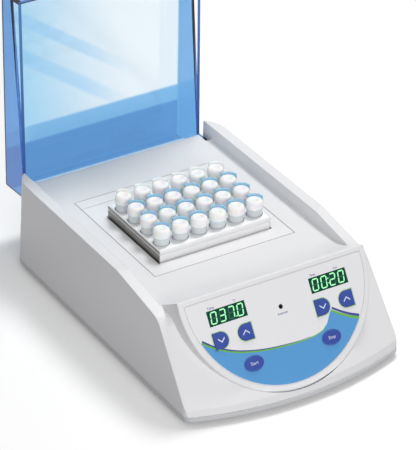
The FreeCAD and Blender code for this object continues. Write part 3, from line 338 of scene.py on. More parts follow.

# %% [markdown]
# The block is cut from aluminium bar. Its top and long sides are milled and bead-blasted, which
# makes metal nearly white. Its two ends get a painted shade instead: a darker, more metallic band
# that stands for the shade that falls on them. One material holds both: the distance from the
# block's middle along x decides how metallic and dark it is. Towards the top the painted end shade
# turns paler, a painted light where the light from the deck reaches it.

# %% The heated block
END_BAND = 0.4 * MM
END_LIGHT_RISE = 24 * MM
block_metal = Finish("block_metal", linear(246, 246, 247), Roughness=0.42)
block_x, _, block_z = block_metal.axes()
block_low, block_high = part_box("heating_block")
BLOCK_TOP = block_high[2]
end_x = (block_high[0] - block_low[0]) / 2 - END_BAND
block_middle = (block_high[0] + block_low[0]) / 2
# Painted shade: both end faces of the block are darkened in the base colour and made more metallic.
painted_end_shade = (block_x - block_middle).size().step(end_x, end_x + END_BAND / 2)
top_face_mask = block_z.step(BLOCK_TOP - END_BAND, BLOCK_TOP - END_BAND / 2)
painted_end_shade = painted_end_shade * (1.0 - top_face_mask)
hair = block_metal.noise(1, 3, 0.65, block_metal.stretched((60, 4200, 4200)))
# Painted light: the darkened ends grow paler towards the top of the block.
end_light_rim = block_z.step(BLOCK_TOP - END_LIGHT_RISE, BLOCK_TOP)
milled = block_metal.blend(hair, linear(234, 234, 235), linear(250, 250, 251))
# The painted end shade runs from dark grey low down to a paler grey near the top.
end_shade_colour = block_metal.blend(hair * 0.3 + end_light_rim * 0.7, linear(70, 68, 67), linear(160, 158, 154))
block_metal.feed("Base Color", block_metal.blend(painted_end_shade, milled, end_shade_colour))
block_metal.feed("Metallic", 0.35 + painted_end_shade * 0.5)
block_metal.feed("Roughness", 0.36 + hair * 0.14)
block_metal.bump(hair, 0.01, 0.5)
dress(block_metal, "heating_block")

# %% [markdown]
# The plate round the block is sheet metal with a satin white paint. Paint differs from the
# moulding: its relief is a soft orange peel, a millimetre or two across, under a smooth skin that
# mirrors more.

# %% Painted plate
plate_paint = Finish(
    "plate_paint", linear(240, 240, 241), Roughness=0.3, Coat_Weight=0.2, Coat_Roughness=0.15
)
peel = plate_paint.noise(700, 2, 0.4)
plate_paint.feed("Roughness", 0.27 + peel * 0.06)
plate_paint.bump(peel, 0.03, 0.5)
dress(plate_paint, "block_surround")

# %% [markdown]
# The boards are glass laminate under green varnish. Copper tracks show through as slightly raised
# bands, so two stretched bands of noise are cut hard into tracks and lift both tone and relief.

# %% Circuit boards
board_green = Finish(
    "board_green", linear(20, 92, 52), Roughness=0.35, Coat_Weight=0.4, Coat_Roughness=0.2
)
along = board_green.noise(1, 0, 0.5, board_green.stretched((700, 60, 60))).step(0.52, 0.56)
across = board_green.noise(1, 0, 0.5, board_green.stretched((60, 700, 700))).step(0.54, 0.58)
tracks = along.largest(across)
board_green.feed("Base Color", board_green.blend(tracks, linear(16, 78, 44), linear(40, 122, 72)))
board_green.bump(tracks, 0.04)
dress(board_green, "control_board", "power_board")
small_parts = [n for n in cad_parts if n.startswith("tact_") or n.startswith("display_module")]
dress(dark_part, *small_parts)

# %% [markdown]
# The lid is bent from clear acrylic with a blue tint. Real tinted sheet looks pale where one looks
# straight through and deep blue along its cut edges, because the light there travels a long way
# inside. Full transmission with a pale base colour gives the first, and an absorbing volume the
# second. All that varies is laid out on the open lid's own x, y and z, so that it turns with it.

# %% Tinted acrylic
lid_acrylic = Finish(
    "lid_acrylic", linear(226, 250, 255), Roughness=0.03, IOR=1.49, Transmission_Weight=1.0
)
smear = lid_acrylic.noise(18, 3, 0.6)
lid_acrylic.feed("Roughness", 0.02 + smear * 0.03)
lid_x, lid_y, lid_z = lid_acrylic.axes()
lid_low, lid_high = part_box("lid")
print("lid from", [round(c, 4) for c in lid_low], "to", [round(c, 4) for c in lid_high])

# %% [markdown]
# The large sheet is paler towards the right and the top, and two faint streaks of painted
# reflection run slantwise over its left half. A streak is a height along the slanted direction,
# with a soft edge on both sides.

# %% Painted reflection streaks in the sheet
REFLECTION_STREAKS = ((144 * MM, 6 * MM), (112 * MM, 7 * MM))
STREAK_SLOPE = 0.72
STREAK_STRENGTH = 0.45
STREAK_FADES = (-20 * MM, 45 * MM)

paler = (lid_x * 6.0 + lid_z * 0.6 + smear * 0.2).step(-0.28, 0.36)
sheet = lid_acrylic.blend(paler, linear(178, 229, 252), linear(246, 255, 255))
slanted = lid_z + lid_x * STREAK_SLOPE
painted_reflections = 0.0
for high, half in REFLECTION_STREAKS:
    painted_reflections = painted_reflections + (1.0 - (slanted - high).size().step(half * 0.6, half * 1.3))
fading = 1.0 - lid_x.step(*STREAK_FADES)
# Painted reflection: the streaks darken the sheet's colour along two slanted bands.
sheet = lid_acrylic.blend(painted_reflections * fading * STREAK_STRENGTH, sheet, linear(150, 212, 250))

# %% [markdown]
# The foot of the sheet, near the hinge, is darker in two bands of painted shadow, the shadow
# behind the lid as seen through it. The side walls look deeper too, where one looks along the
# sheet. Only the ledge in front of the hinge stays pale. The absorbing volume then adds its blue by
# the distance that light travels inside.

# %% Painted shadow bands, walls and depth
LID_WALL = 2.6 * MM
WALL_SOFT = 0.4 * MM
DEEP_SHADOW_TOP = 79 * MM
LIGHT_SHADOW_TOP = 93 * MM
SHADOW_BAND_SOFT = 2.5 * MM
SHADOW_LEFT_END = (-66 * MM, -52 * MM)
LEDGE_Y = 145 * MM
LEDGE_Z = 53 * MM
LEDGE_SOFT = 1 * MM

# Painted shadow: two bands at the foot of the sheet, the upper one lighter and fading at the left.
shadow_band_ends = lid_x.step(*SHADOW_LEFT_END)
light_shadow_band = lid_acrylic.blend(shadow_band_ends, linear(160, 214, 244), linear(138, 198, 238))
above_light_shadow = lid_z.step(LIGHT_SHADOW_TOP, LIGHT_SHADOW_TOP + SHADOW_BAND_SOFT)
above_deep_shadow = lid_z.step(DEEP_SHADOW_TOP, DEEP_SHADOW_TOP + SHADOW_BAND_SOFT)
tint = lid_acrylic.blend(above_light_shadow, light_shadow_band, sheet)
tint = lid_acrylic.blend(above_deep_shadow, linear(106, 164, 218), tint)
before_ledge = 1.0 - lid_y.step(LEDGE_Y, LEDGE_Y + LEDGE_SOFT)
below_ledge = 1.0 - lid_z.step(LEDGE_Z, LEDGE_Z + LEDGE_SOFT)
tint = lid_acrylic.blend(before_ledge * below_ledge, tint, linear(214, 240, 252))
side_x = lid_high[0] - LID_WALL
walls = lid_x.size().step(side_x - WALL_SOFT, side_x)
lid_acrylic.feed("Base Color", lid_acrylic.blend(walls, tint, linear(122, 184, 232)))

inside = lid_acrylic.node(
    "ShaderNodeVolumeAbsorption", {}, {"Color": linear(30, 116, 215), "Density": 42.0}
)
surface_end = lid_acrylic.tree.nodes["Material Output"]
lid_acrylic.tree.links.new(inside.outputs[0], surface_end.inputs["Volume"])
dress(lid_acrylic, "lid")

# %% [markdown]
# The lid's free edges are saw-cut, so they scatter the blue that gathers inside the sheet instead
# of letting one look in. A thin strip on each side edge, laid along the cut, shows that. It is a
# cube whose corners are set on the two ends of the edge.

# %% Cut edges of the lid
EDGE_FOOT = Vector((0, 124.8, 63.0)) * MM
EDGE_HEAD = Vector((0, 122.98, 219.0)) * MM
EDGE_INNER = 76.0 * MM
EDGE_OUTER = 78.4 * MM
EDGE_THICK = 0.08 * MM
EDGE_DARK_BELOW = 70 * MM
EDGE_PALE_ABOVE = 200 * MM

edge_frost = Finish("edge_frost", linear(84, 126, 190), Roughness=0.5, IOR=1.3)
climb = edge_frost.axes()[2].step(EDGE_DARK_BELOW, EDGE_PALE_ABOVE)
edge_frost.feed("Base Color", edge_frost.blend(climb, linear(62, 98, 172), linear(92, 138, 200)))
edge_frost.bump(edge_frost.noise(1600, 3), 0.03)


def edge_strip(name, side):
    """A flat bar along the cut edge on one side of the lid, -1 for left and 1 for right."""
    deselect()
    bpy.ops.mesh.primitive_cube_add(size=1)
    strip = bpy.context.object
    strip.name = name
    for corner in strip.data.vertices:
        end = EDGE_HEAD if corner.co.z > 0 else EDGE_FOOT
        out = EDGE_OUTER if corner.co.x * side > 0 else EDGE_INNER
        forward = -EDGE_THICK if corner.co.y < 0 else 0.0
        corner.co = (out * side, end.y + forward, end.z)
    bpy.ops.object.mode_set(mode="EDIT")
    bpy.ops.mesh.select_all(action="SELECT")
    bpy.ops.mesh.bevel(offset=EDGE_THICK * 0.4, segments=1, affect="EDGES")
    bpy.ops.mesh.normals_make_consistent(inside=False)
    bpy.ops.object.mode_set(mode="OBJECT")
    strip.data.materials.append(edge_frost.material)
    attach(strip, "lid")


edge_strip("lid_edge_left", -1)
edge_strip("lid_edge_right", 1)
print("two cut edges of", round((EDGE_HEAD - EDGE_FOOT).length, 3), "m")

# %% [markdown]
# The plate round the block lies loose in the deck, and the gap round it lies in shade. A dark
# strip laid in the gap paints that shadow. It is a plane inset to a thin frame, whose middle is
# deleted, pushed down to get thickness.

# %% Painted shadow strip round the plate
GAP_SHADOW_WIDE = 0.42 * MM
GAP_SHADOW_CLEAR = 0.02 * MM
GAP_SHADOW_SUNK = 0.15 * MM
GAP_SHADOW_DEEP = 1.2 * MM
# Painted shadow: a dark grey strip stands for the shade in the gap round the plate.
gap_shadow_paint = Finish("gap_shadow_paint", linear(96, 97, 100), Roughness=0.7)
gap_mottle = gap_shadow_paint.noise(500)
gap_shadow_paint.feed("Base Color", gap_shadow_paint.blend(gap_mottle, linear(84, 85, 88), linear(108, 109, 112)))
plate_low, plate_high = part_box("block_surround")
plate_middle = [(a + b) / 2 for a, b in zip(plate_low, plate_high)]
deselect()
bpy.ops.mesh.primitive_plane_add(size=1)
gap_shadow = bpy.context.object
gap_shadow.name = "plate_gap_shadow"
gap_shadow.scale = [b - a + 2 * (GAP_SHADOW_WIDE + GAP_SHADOW_CLEAR) for a, b in zip(plate_low, plate_high)]
gap_shadow.location = (plate_middle[0], plate_middle[1], plate_high[2] - GAP_SHADOW_SUNK)
bpy.ops.object.transform_apply(location=True, rotation=True, scale=True)
bpy.ops.object.mode_set(mode="EDIT")
bpy.ops.mesh.select_all(action="SELECT")
bpy.ops.mesh.inset(thickness=GAP_SHADOW_WIDE)
bpy.ops.mesh.delete(type="FACE")
bpy.ops.mesh.select_all(action="SELECT")
bpy.ops.mesh.extrude_region_move(TRANSFORM_OT_translate={"value": (0, 0, -GAP_SHADOW_DEEP)})
bpy.ops.mesh.select_all(action="SELECT")
bpy.ops.mesh.normals_make_consistent(inside=False)
bpy.ops.object.mode_set(mode="OBJECT")
gap_shadow.data.materials.append(gap_shadow_paint.material)
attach(gap_shadow, "base")
print("seal strip with", len(gap_shadow.data.polygons), "faces")

# %% [markdown]
# Keys are small glossy blue mouldings with a softly rounded edge. The label is a satin film
# printed in pale grey; its printed shapes come later as films of their own. The windows are dark
# green filters.

# %% Keys, label and windows
key_blue = Finish("key_blue", linear(58, 80, 166), Roughness=0.4, IOR=1.35)
key_tone = key_blue.noise(120, 2)
key_blue.feed("Base Color", key_blue.blend(key_tone, linear(52, 74, 158), linear(64, 88, 174)))
key_blue.bump(key_blue.noise(1800), 0.01, 0.5)
keys = [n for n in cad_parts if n.startswith("key_")]
dress(key_blue, *keys)

label_film = Finish("label_film", linear(240, 240, 242), Roughness=0.45, IOR=1.35)
label_grain = label_film.noise(1500, 3)
label_film.feed(
    "Base Color", label_film.blend(label_grain, linear(237, 237, 239), linear(243, 243, 245))
)
label_film.bump(label_grain, 0.01)
dress(label_film, "panel_label")

window_film = Finish("window_film", linear(16, 72, 60), Roughness=0.3, IOR=1.2)
shade = window_film.noise(60, 2)
window_film.feed("Base Color", window_film.blend(shade, linear(8, 58, 48), linear(18, 78, 64)))
dress(window_film, "display_window_temp", "display_window_time")

# %% [markdown]
# The tubes are small closed vials of frosted polypropylene. Each is round about its own axis, so
# it could be spun from a profile; pushing a disc up ring by ring does the same and needs no seam
# to be closed afterwards. One tube is modelled in three parts, because cap, body and lifting tab
# differ in finish, and is then copied into every bore of the block.

# %% A turned piece, ring by ring
ROUND_SIDES = 36
SMOOTH_BELOW = math.radians(35)


def settle(thing, finish):
    """Applies the object's place, smooths its round faces and gives it a finish."""
    bpy.ops.object.mode_set(mode="OBJECT")
    bpy.ops.object.transform_apply(location=True, rotation=True, scale=True)
    bpy.ops.object.shade_smooth_by_angle(angle=SMOOTH_BELOW)
    thing.data.materials.clear()
    thing.data.materials.append(finish.material)
    return thing


def turned(name, rings, finish):
    """A disc at the first ring, pushed up and resized; each ring is a radius and a height in mm."""
    radius, height = rings[0]
    deselect()
    bpy.ops.mesh.primitive_circle_add(
        vertices=ROUND_SIDES, radius=radius * MM, fill_type="NGON", location=(0, 0, height * MM)
    )
    thing = bpy.context.object
    thing.name = name
    bpy.ops.object.mode_set(mode="EDIT")
    bpy.ops.mesh.select_all(action="SELECT")
    for (narrow, low), (wide, high) in zip(rings, rings[1:]):
        lift = {"value": (0, 0, (high - low) * MM)}
        bpy.ops.mesh.extrude_region_move(TRANSFORM_OT_translate=lift)
        share = wide / narrow
        bpy.ops.transform.resize(value=(share, share, 1), center_override=(0, 0, high * MM))
    bpy.ops.mesh.select_all(action="SELECT")
    bpy.ops.mesh.normals_make_consistent(inside=False)
    return settle(thing, finish)


# %% [markdown]
# Frosted polypropylene scatters light inside, so it is neither glass nor paint. Subsurface
# scattering over a few millimetres gives the glow of a thin wall, and the clearer body lets some
# light through. The tabs are dyed a pale blue.

# %% Tube finishes
cap_frost = Finish(
    "cap_frost", linear(250, 252, 253), Roughness=0.42, IOR=1.4,
    Subsurface_Weight=0.6, Subsurface_Scale=4 * MM,
)
frost = cap_frost.noise(700, 3)
cap_frost.feed("Roughness", 0.36 + frost * 0.12)
cap_frost.bump(cap_frost.noise(2400), 0.02)

tube_clear = Finish(
    "tube_clear", linear(240, 245, 248), Roughness=0.25, IOR=1.2, Transmission_Weight=0.25
)
drawn_lines = tube_clear.noise(1, 2, 0.5, tube_clear.stretched((900, 900, 120)))
tube_clear.feed("Roughness", 0.16 + drawn_lines * 0.14)

strap_blue = Finish(
    "strap_blue", linear(176, 222, 247), Roughness=0.4, IOR=1.3, Transmission_Weight=0.15
)
strap_blue.bump(strap_blue.noise(2400), 0.02)

# %% [markdown]
# The cap has a small step under it, a soft shoulder and a shallow dimple in its top. The body
# stands on the floor of its bore and tapers to a blunt tip. Rings are given in millimetres from
# the block's top.

# %% Cap and body of one tube
BORE_DEEP = 38.5
TAPER_HIGH = 17
CAP_HIGH = 12.2
CAP_RINGS = [
    (5.9, 5.75), (6.3, 5.8), (6.5, 6.05), (6.5, 9.3), (6.42, 10.1), (6.15, 10.9), (5.6, 11.6),
    (4.9, 12.0), (4.1, CAP_HIGH), (3.5, 12.1), (2.9, 11.75), (1.9, 11.5), (0.6, 11.42),
]
BODY_RINGS = [
    (1.2, -BORE_DEEP), (1.9, -BORE_DEEP + 0.6), (5.7, -BORE_DEEP + TAPER_HIGH), (5.8, -20.0),
    (5.8, 4.4), (6.1, 4.6), (6.1, 5.6), (5.5, 5.65),
]
cap = turned("tube_cap", CAP_RINGS, cap_frost)
body = turned("tube_body", BODY_RINGS, tube_clear)

# %% [markdown]
# Behind the cap stands its curved lifting tab, by which the tube is opened. It has one section all
# along, so that section is drawn once, out from the tube's axis and up, and spun about the axis.
# The spin starts at the back, so a turn afterwards brings the tab's middle to its place.

# %% Lifting tab of one tube
STRAP_TURN = 100
STRAP_MIDDLE = 31
STRAP_STEPS = 12
STRAP_PROFILE = [
    (6.3, 8.3), (7.5, 8.4), (7.9, 9.2), (7.7, 12.9), (6.9, 13.0), (6.8, 10.1), (6.3, 9.6),
]
deselect()
bpy.ops.mesh.primitive_circle_add(vertices=len(STRAP_PROFILE), radius=MM, fill_type="NGON")
strap = bpy.context.object
strap.name = "tube_strap"
for corner, (out, height) in zip(strap.data.vertices, STRAP_PROFILE):
    corner.co = (0, out * MM, height * MM)
bpy.ops.object.mode_set(mode="EDIT")
bpy.ops.mesh.select_all(action="SELECT")
bpy.ops.mesh.spin(
    steps=STRAP_STEPS, angle=math.radians(STRAP_TURN), center=(0, 0, 0), axis=(0, 0, 1)
)
bpy.ops.mesh.select_all(action="SELECT")
bpy.ops.mesh.normals_make_consistent(inside=False)
settle(strap, strap_blue)
strap_leans = STRAP_TURN / 2 - STRAP_MIDDLE
strap.data.transform(Matrix.Rotation(math.radians(strap_leans), 4, "Z"))
print("one tube:", [len(part.data.polygons) for part in (cap, body, strap)], "faces")

# %% [markdown]
# The bores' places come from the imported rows, so the copies can't drift from the block: each solid
# of a row is one tube, and its middle is the middle of its bore. The heights come from the block's
# top. Every tube is turned a little, as by hand, and the tabs of the rear row are clear.

# %% Tubes in their bores
ROWS = 4
COLUMNS = 6
PITCH = 16.0 * MM
HAND_TURN = math.radians(4)


def copy_at(thing, name, matrix):
    """A copy with its own mesh, put in place through that mesh."""
    made = thing.copy()
    made.data = thing.data.copy()
    made.name = name
    made.data.transform(matrix)
    bpy.context.scene.collection.objects.link(made)
    return made


for row in range(1, ROWS + 1):
    low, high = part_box("tube_row_%d" % row)
    row_x = (low[0] + high[0]) / 2
    row_y = (low[1] + high[1]) / 2
    for column in range(COLUMNS):
        x = row_x + (column - (COLUMNS - 1) / 2) * PITCH
        turns = column * 2 % 5 - 2
        by_hand = Matrix.Rotation(turns * HAND_TURN, 4, "Z")
        here = Matrix.Translation((x, row_y, BLOCK_TOP)) @ by_hand
        for part in (cap, body, strap):
            made = copy_at(part, "%s_%d_%d" % (part.name, row, column + 1), here)
            if part is strap and row == ROWS:
                made.data.materials[0] = cap_frost.material
            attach(made, "block")
            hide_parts("tube_row_%d" % row)
for part in (cap, body, strap):
    bpy.data.objects.remove(part)
print(ROWS * COLUMNS, "tubes stand in the block")

# %% [markdown]
# All printed shapes lie in the plane of the control panel. It is simplest to draw them flat, with
# x to the right and y up the slope, in mm from the middle of the panel's upper edge, and to lift
# them onto the slope with one matrix. Each is a filled 2D curve made into a mesh and pushed up by
# a few hundredths of a millimetre, so that it is a real film and not a painted picture. Heights
# are counted from the panel's face.

# %% Films on the panel
PANEL_TILT = math.radians(58.2)
PANEL_EDGE = Vector((0, -0.1058, 0.082))
PANEL = Matrix.Translation(PANEL_EDGE) @ Matrix.Rotation(PANEL_TILT, 4, "X") @ Matrix.Scale(MM, 4)
FILM_THICK = 0.04
LABEL_TOP = -0.1
MERGE_WITHIN = 0.001


def lay(drawn, finish, base, rides, thick):
    """Turns a flat curve or text into a film of its own thickness at a height of the panel."""
    bpy.ops.object.convert(target="MESH")
    sheet = bpy.context.object
    bpy.ops.object.mode_set(mode="EDIT")
    bpy.ops.mesh.select_all(action="SELECT")
    bpy.ops.mesh.remove_doubles(threshold=MERGE_WITHIN)
    bpy.ops.mesh.normals_make_consistent(inside=False)
    bpy.ops.mesh.extrude_region_move(TRANSFORM_OT_translate={"value": (0, 0, thick)})
    bpy.ops.mesh.select_all(action="SELECT")
    bpy.ops.mesh.normals_make_consistent(inside=False)
    bpy.ops.object.mode_set(mode="OBJECT")
    bpy.ops.object.transform_apply(location=True, rotation=True, scale=True)
    sheet.data.transform(PANEL @ Matrix.Translation((0, 0, base)))
    sheet.data.materials.clear()
    sheet.data.materials.append(finish.material)
    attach(sheet, rides)


def film(name, outlines, finish, base, rides="base", thick=FILM_THICK):
    """Closed outlines, each a list of (x, y) in mm, filled and lifted onto the panel."""
    deselect()
    bpy.ops.curve.primitive_bezier_curve_add()
    drawn = bpy.context.object
    drawn.name = name
    drawn.data.dimensions = "2D"
    drawn.data.fill_mode = "BOTH"
    drawn.data.splines.clear()
    for outline in outlines:
        line = drawn.data.splines.new("POLY")
        line.points.add(len(outline) - 1)
        for point, (x, y) in zip(line.points, outline):
            point.co = (x, y, 0, 1)
        line.use_cyclic_u = True
    lay(drawn, finish, base, rides, thick)


print("panel's upper edge at", [round(c, 4) for c in PANEL_EDGE])

# %% [markdown]
# A printed line is given by a few points. To run smoothly through them, each stretch between two
# points is a cubic curve that leans on the point before and the point after.

# %% Lines through points
BOW_STEPS = 8
ARC_STEPS = 48


def bow(points):
    """A smooth line through the points."""
    line = []
    for i in range(len(points) - 1):
        before, here = points[max(i - 1, 0)], points[i]
        there, after = points[i + 1], points[min(i + 2, len(points) - 1)]
        for step in range(BOW_STEPS):
            t = step / BOW_STEPS
            spot = []
            for a, b, c, e in zip(before, here, there, after):
                bend = (2 * a - 5 * b + 4 * c - e) * t * t + (3 * b - a - 3 * c + e) * t ** 3
                spot.append((2 * b + (c - a) * t + bend) / 2)
            line.append(tuple(spot))
    line.append(tuple(points[-1]))
    return line


def round_arc(centre_y, radius, start, end):
    """Points on a circle about x = 0, by angles in degrees."""
    spots = []
    for step in range(ARC_STEPS + 1):
        turn_by = math.radians(start + (end - start) * step / ARC_STEPS)
        spots.append((radius * math.cos(turn_by), centre_y + radius * math.sin(turn_by)))
    return spots


def ribbon(line, wide_from, wide_to, shift=0.0):
    """A strip along a line whose width runs evenly from one value to another."""
    upper_side, lower_side = [], []
    count = len(line)
    for i, (x, y) in enumerate(line):
        ahead, behind = line[min(i + 1, count - 1)], line[max(i - 1, 0)]
        along = Vector((ahead[0] - behind[0], ahead[1] - behind[1])).normalized()
        across = Vector((-along.y, along.x))
        wide = wide_from + (wide_to - wide_from) * i / (count - 1)
        upper_side.append(tuple(Vector((x, y)) + across * (shift + wide)))
        lower_side.append(tuple(Vector((x, y)) + across * shift))
    return upper_side + lower_side[::-1]


print("printed lines take", BOW_STEPS, "steps from point to point")

# %% [markdown]
# The label is printed with a blue field in its lower part. Its upper edge sweeps down from the
# left in a long bow and climbs again before the right keys; dark blue and green lines run along
# it. The lower edge simply follows the label. Plain inks need no more than a soft mottle in colour
# and gloss.

# %% Printed field and lines
def ink(name, colour, darker, roughness=0.34):
    finish = Finish(name, colour, Roughness=roughness)
    mottle = finish.noise(420, 3, 0.6)
    finish.feed("Base Color", finish.blend(mottle, darker, colour))
    finish.feed("Roughness", roughness - 0.04 + mottle * 0.08)
    return finish


blue_ink = ink("blue_ink", linear(86, 160, 219), linear(82, 154, 213))
dark_ink = ink("dark_ink", linear(58, 72, 158), linear(52, 66, 150))
green_ink = ink("green_ink", linear(112, 190, 70), linear(104, 182, 64))

FIELD_CENTRE = -6.6
FIELD_RADIUS = 73.4
FIELD_LEFT = -159.5
FIELD_RIGHT = -36.6
GREEN_ENDS = 31.5
DARK_ENDS = 17
LINE_LIFT = LABEL_TOP + FILM_THICK
upper_edge = bow([
    (-68.8, -32.4), (-58.7, -39.6), (-43.9, -46.3), (-24.1, -51.0), (-1.3, -53.2), (15.2, -53.3),
    (26.6, -51.3), (31.5, -47.7), (34.6, -43.6), (36.6, -40.4),
])
stripe_edge = bow([(38.4, -38.6), (44.5, -43.0), (51.5, -47.1), (58.9, -50.4)])
lower_edge = round_arc(FIELD_CENTRE, FIELD_RADIUS, FIELD_RIGHT, FIELD_LEFT)
film("blue_field", [upper_edge + stripe_edge + lower_edge], blue_ink, LABEL_TOP)

green_part = [spot for spot in upper_edge if spot[0] < GREEN_ENDS]
dark_part_of_edge = [spot for spot in upper_edge if spot[0] < DARK_ENDS]
film("green_line", [ribbon(green_part, 1.5, 0.5)], green_ink, LINE_LIFT)
film("dark_line", [ribbon(dark_part_of_edge, 1.5, 0.2, 1.0)], dark_ink, LINE_LIFT)
film("green_stripe", [ribbon(stripe_edge, 1.3, 1.9, -0.6)], green_ink, LINE_LIFT)
film("dark_stripe", [ribbon(stripe_edge, 1.4, 1.9, 1.2)], dark_ink, LINE_LIFT)
print("blue field from", upper_edge[0], "to", stripe_edge[-1])

# %% [markdown]
# The displays are light-emitting modules behind a dark green filter. A lit digit is made of seven
# bars that lean a little to the right. All bars are there even when dark, so a faint set of eights
# lies under the lit ones, as it does on a real module. A bar is given by its two ends, in shares
# of the digit's width and height.

# %% Bars of a digit
DIGIT_HIGH = 8.2
DIGIT_WIDE = 4.4
DIGIT_PITCH = 7.3
BAR_WIDE = 0.95
BAR_GAP = 0.12
LEAN = 0.12
BARS = {
    "a": (0, 1, 1, 1), "b": (1, 1, 1, 0.5), "c": (1, 0.5, 1, 0), "d": (0, 0, 1, 0),
    "e": (0, 0.5, 0, 0), "f": (0, 1, 0, 0.5), "g": (0, 0.5, 1, 0.5),
}
LIT = {"0": "abcdef", "2": "abged", "3": "abgcd", "7": "abc", "8": "abcdefg"}


def bar_outline(x0, y0, x1, y1):
    """A bar with pointed ends between two places of a digit."""
    along = Vector((x1 - x0, y1 - y0)).normalized()
    across = Vector((-along.y, along.x)) * BAR_WIDE / 2
    tip = along * BAR_WIDE / 2
    start = Vector((x0, y0)) + along * BAR_GAP
    end = Vector((x1, y1)) - along * BAR_GAP
    one_side = [start, start + tip + across, end - tip + across]
    other_side = [end, end - tip - across, start + tip - across]
    corners = one_side + other_side
    return [(corner.x + (corner.y + DIGIT_HIGH / 2) * LEAN, corner.y) for corner in corners]


def digits(text, middle_x, middle_y):
    """The bars of a row of digits, centred on a window."""
    outlines = []
    for i, figure in enumerate(text):
        middle = (i - (len(text) - 1) / 2) * DIGIT_PITCH
        left = middle - DIGIT_WIDE / 2 - LEAN * DIGIT_HIGH / 2
        for bar in LIT[figure]:
            x0, y0, x1, y1 = BARS[bar]
            outline = bar_outline(
                left + x0 * DIGIT_WIDE, (y0 - 0.5) * DIGIT_HIGH,
                left + x1 * DIGIT_WIDE, (y1 - 0.5) * DIGIT_HIGH,
            )
            outlines.append([(x + middle_x, y + middle_y) for x, y in outline])
    return outlines


def ellipse(x, y, long, short, steps):
    """A closed outline about x and y."""
    turn_step = 2 * math.pi / steps
    return [
        (x + long * math.cos(i * turn_step), y + short * math.sin(i * turn_step))
        for i in range(steps)
    ]


# %% [markdown]
# The lit bars lie on the dark ones and glow a little, and the point and the colon glow with them.
# Both rows of digits sit just under the front of their windows.

# %% Display digits
digit_light = Finish(
    "digit_light", linear(168, 250, 186), Roughness=0.4,
    Emission_Color=linear(150, 250, 172), Emission_Strength=0.35,
)
digit_dark = ink("digit_dark", linear(30, 104, 78), linear(24, 92, 68), 0.2)

WINDOW_X = 42.8
WINDOW_Y = -17.6
WINDOW_TOP = -0.2
DARK_THICK = 0.02
POINT_RADIUS = 0.55
COLON_RADIUS = 0.5
COLON_HALF = 1.7
DOT_STEPS = 14

for name, text, middle_x in (("temp", "0370", -WINDOW_X), ("time", "0020", WINDOW_X)):
    dark_bars = digits("8888", middle_x, WINDOW_Y)
    lit_bars = digits(text, middle_x, WINDOW_Y)
    film("dark_digits_" + name, dark_bars, digit_dark, WINDOW_TOP, thick=DARK_THICK)
    film("lit_digits_" + name, lit_bars, digit_light, WINDOW_TOP + DARK_THICK)
point_x = -WINDOW_X + DIGIT_PITCH - 0.1
point_y = WINDOW_Y - DIGIT_HIGH / 2 + 0.5
point = ellipse(point_x, point_y, POINT_RADIUS, POINT_RADIUS, DOT_STEPS)
film("point_temp", [point], digit_light, WINDOW_TOP)
colon = [
    ellipse(WINDOW_X + 0.2, WINDOW_Y + lift, COLON_RADIUS, COLON_RADIUS, DOT_STEPS)
    for lift in (-COLON_HALF, COLON_HALF)
]
film("colon_time", colon, digit_light, WINDOW_TOP)
print("digits of", DIGIT_HIGH, "mm in both windows")

# %% [markdown]
# Each arrow key carries a white chevron and is outlined in thin green on the label; the start and
# stop keys carry a pale word and a dark outline. What is printed on a key has to move with it, so
# those films ride on the keys.

# %% Arrow keys
KEY_Y = -34.2
KEY_RADIUS = 5.8
KEY_TOP = 0.7
KEY_STEPS = 20
RING_OUTER = 0.95
RING_INNER = 0.35
KEYS = {
    "temp_down": (-52.9, -1, -1), "temp_up": (-32.6, 1, 1),
    "time_down": (32.6, -1, -1), "time_up": (52.9, 1, 1),
}
pale_ink = ink("pale_ink", linear(226, 232, 246), linear(214, 222, 240))
edge_ink = ink("edge_ink", linear(176, 216, 168), linear(168, 208, 160))


def chevron(x, y, points_up):
    """An angle of two strokes, as a closed outline."""
    wide, rise, stroke = 2.7, 2.6, 1.15
    shift = (rise - stroke) / 2
    upper_side = [(-wide, 0), (0, rise), (wide, 0)]
    lower_side = [(wide, -stroke), (0, rise - stroke), (-wide, -stroke)]
    return [(x + a, y + (b - shift) * points_up) for a, b in upper_side + lower_side]


def key_outline(x, y, radius, flat_side):
    """Square on one side and round on the other."""
    spots = [(x + flat_side * radius, y + radius), (x + flat_side * radius, y - radius)]
    for step in range(KEY_STEPS + 1):
        turn_by = math.pi * step / KEY_STEPS
        out, up = radius * math.sin(turn_by), radius * math.cos(turn_by)
        spots.append((x - flat_side * out, y - up))
    return spots


for name, (x, flat_side, points_up) in KEYS.items():
    film("mark_" + name, [chevron(x, KEY_Y, points_up)], pale_ink, KEY_TOP, "button_" + name)
    gaps = (RING_OUTER, RING_INNER)
    rings = [key_outline(x, KEY_Y, KEY_RADIUS + gap, flat_side) for gap in gaps]
    film("edge_" + name, rings, edge_ink, LABEL_TOP)
print("four arrow keys are marked")

# %% [markdown]
# Words are text objects, which become films in the same way as the outlines. The built-in letters
# are upright and thin, so they get a slight slant and a little extra weight. A text's size is that
# of its line, and a capital is a fixed share of it.

# %% Start and stop
CAPITAL_SHARE = 0.69
SLANT = 0.12
BOLDER = 0.02
OVAL_X = 32.9
OVAL_Y = -57.3
OVAL_LONG = 7.4
OVAL_SHORT = 5.0
OVAL_STEPS = 40
OVAL_OUTER = 0.8
KEY_WORD_HIGH = 2.3


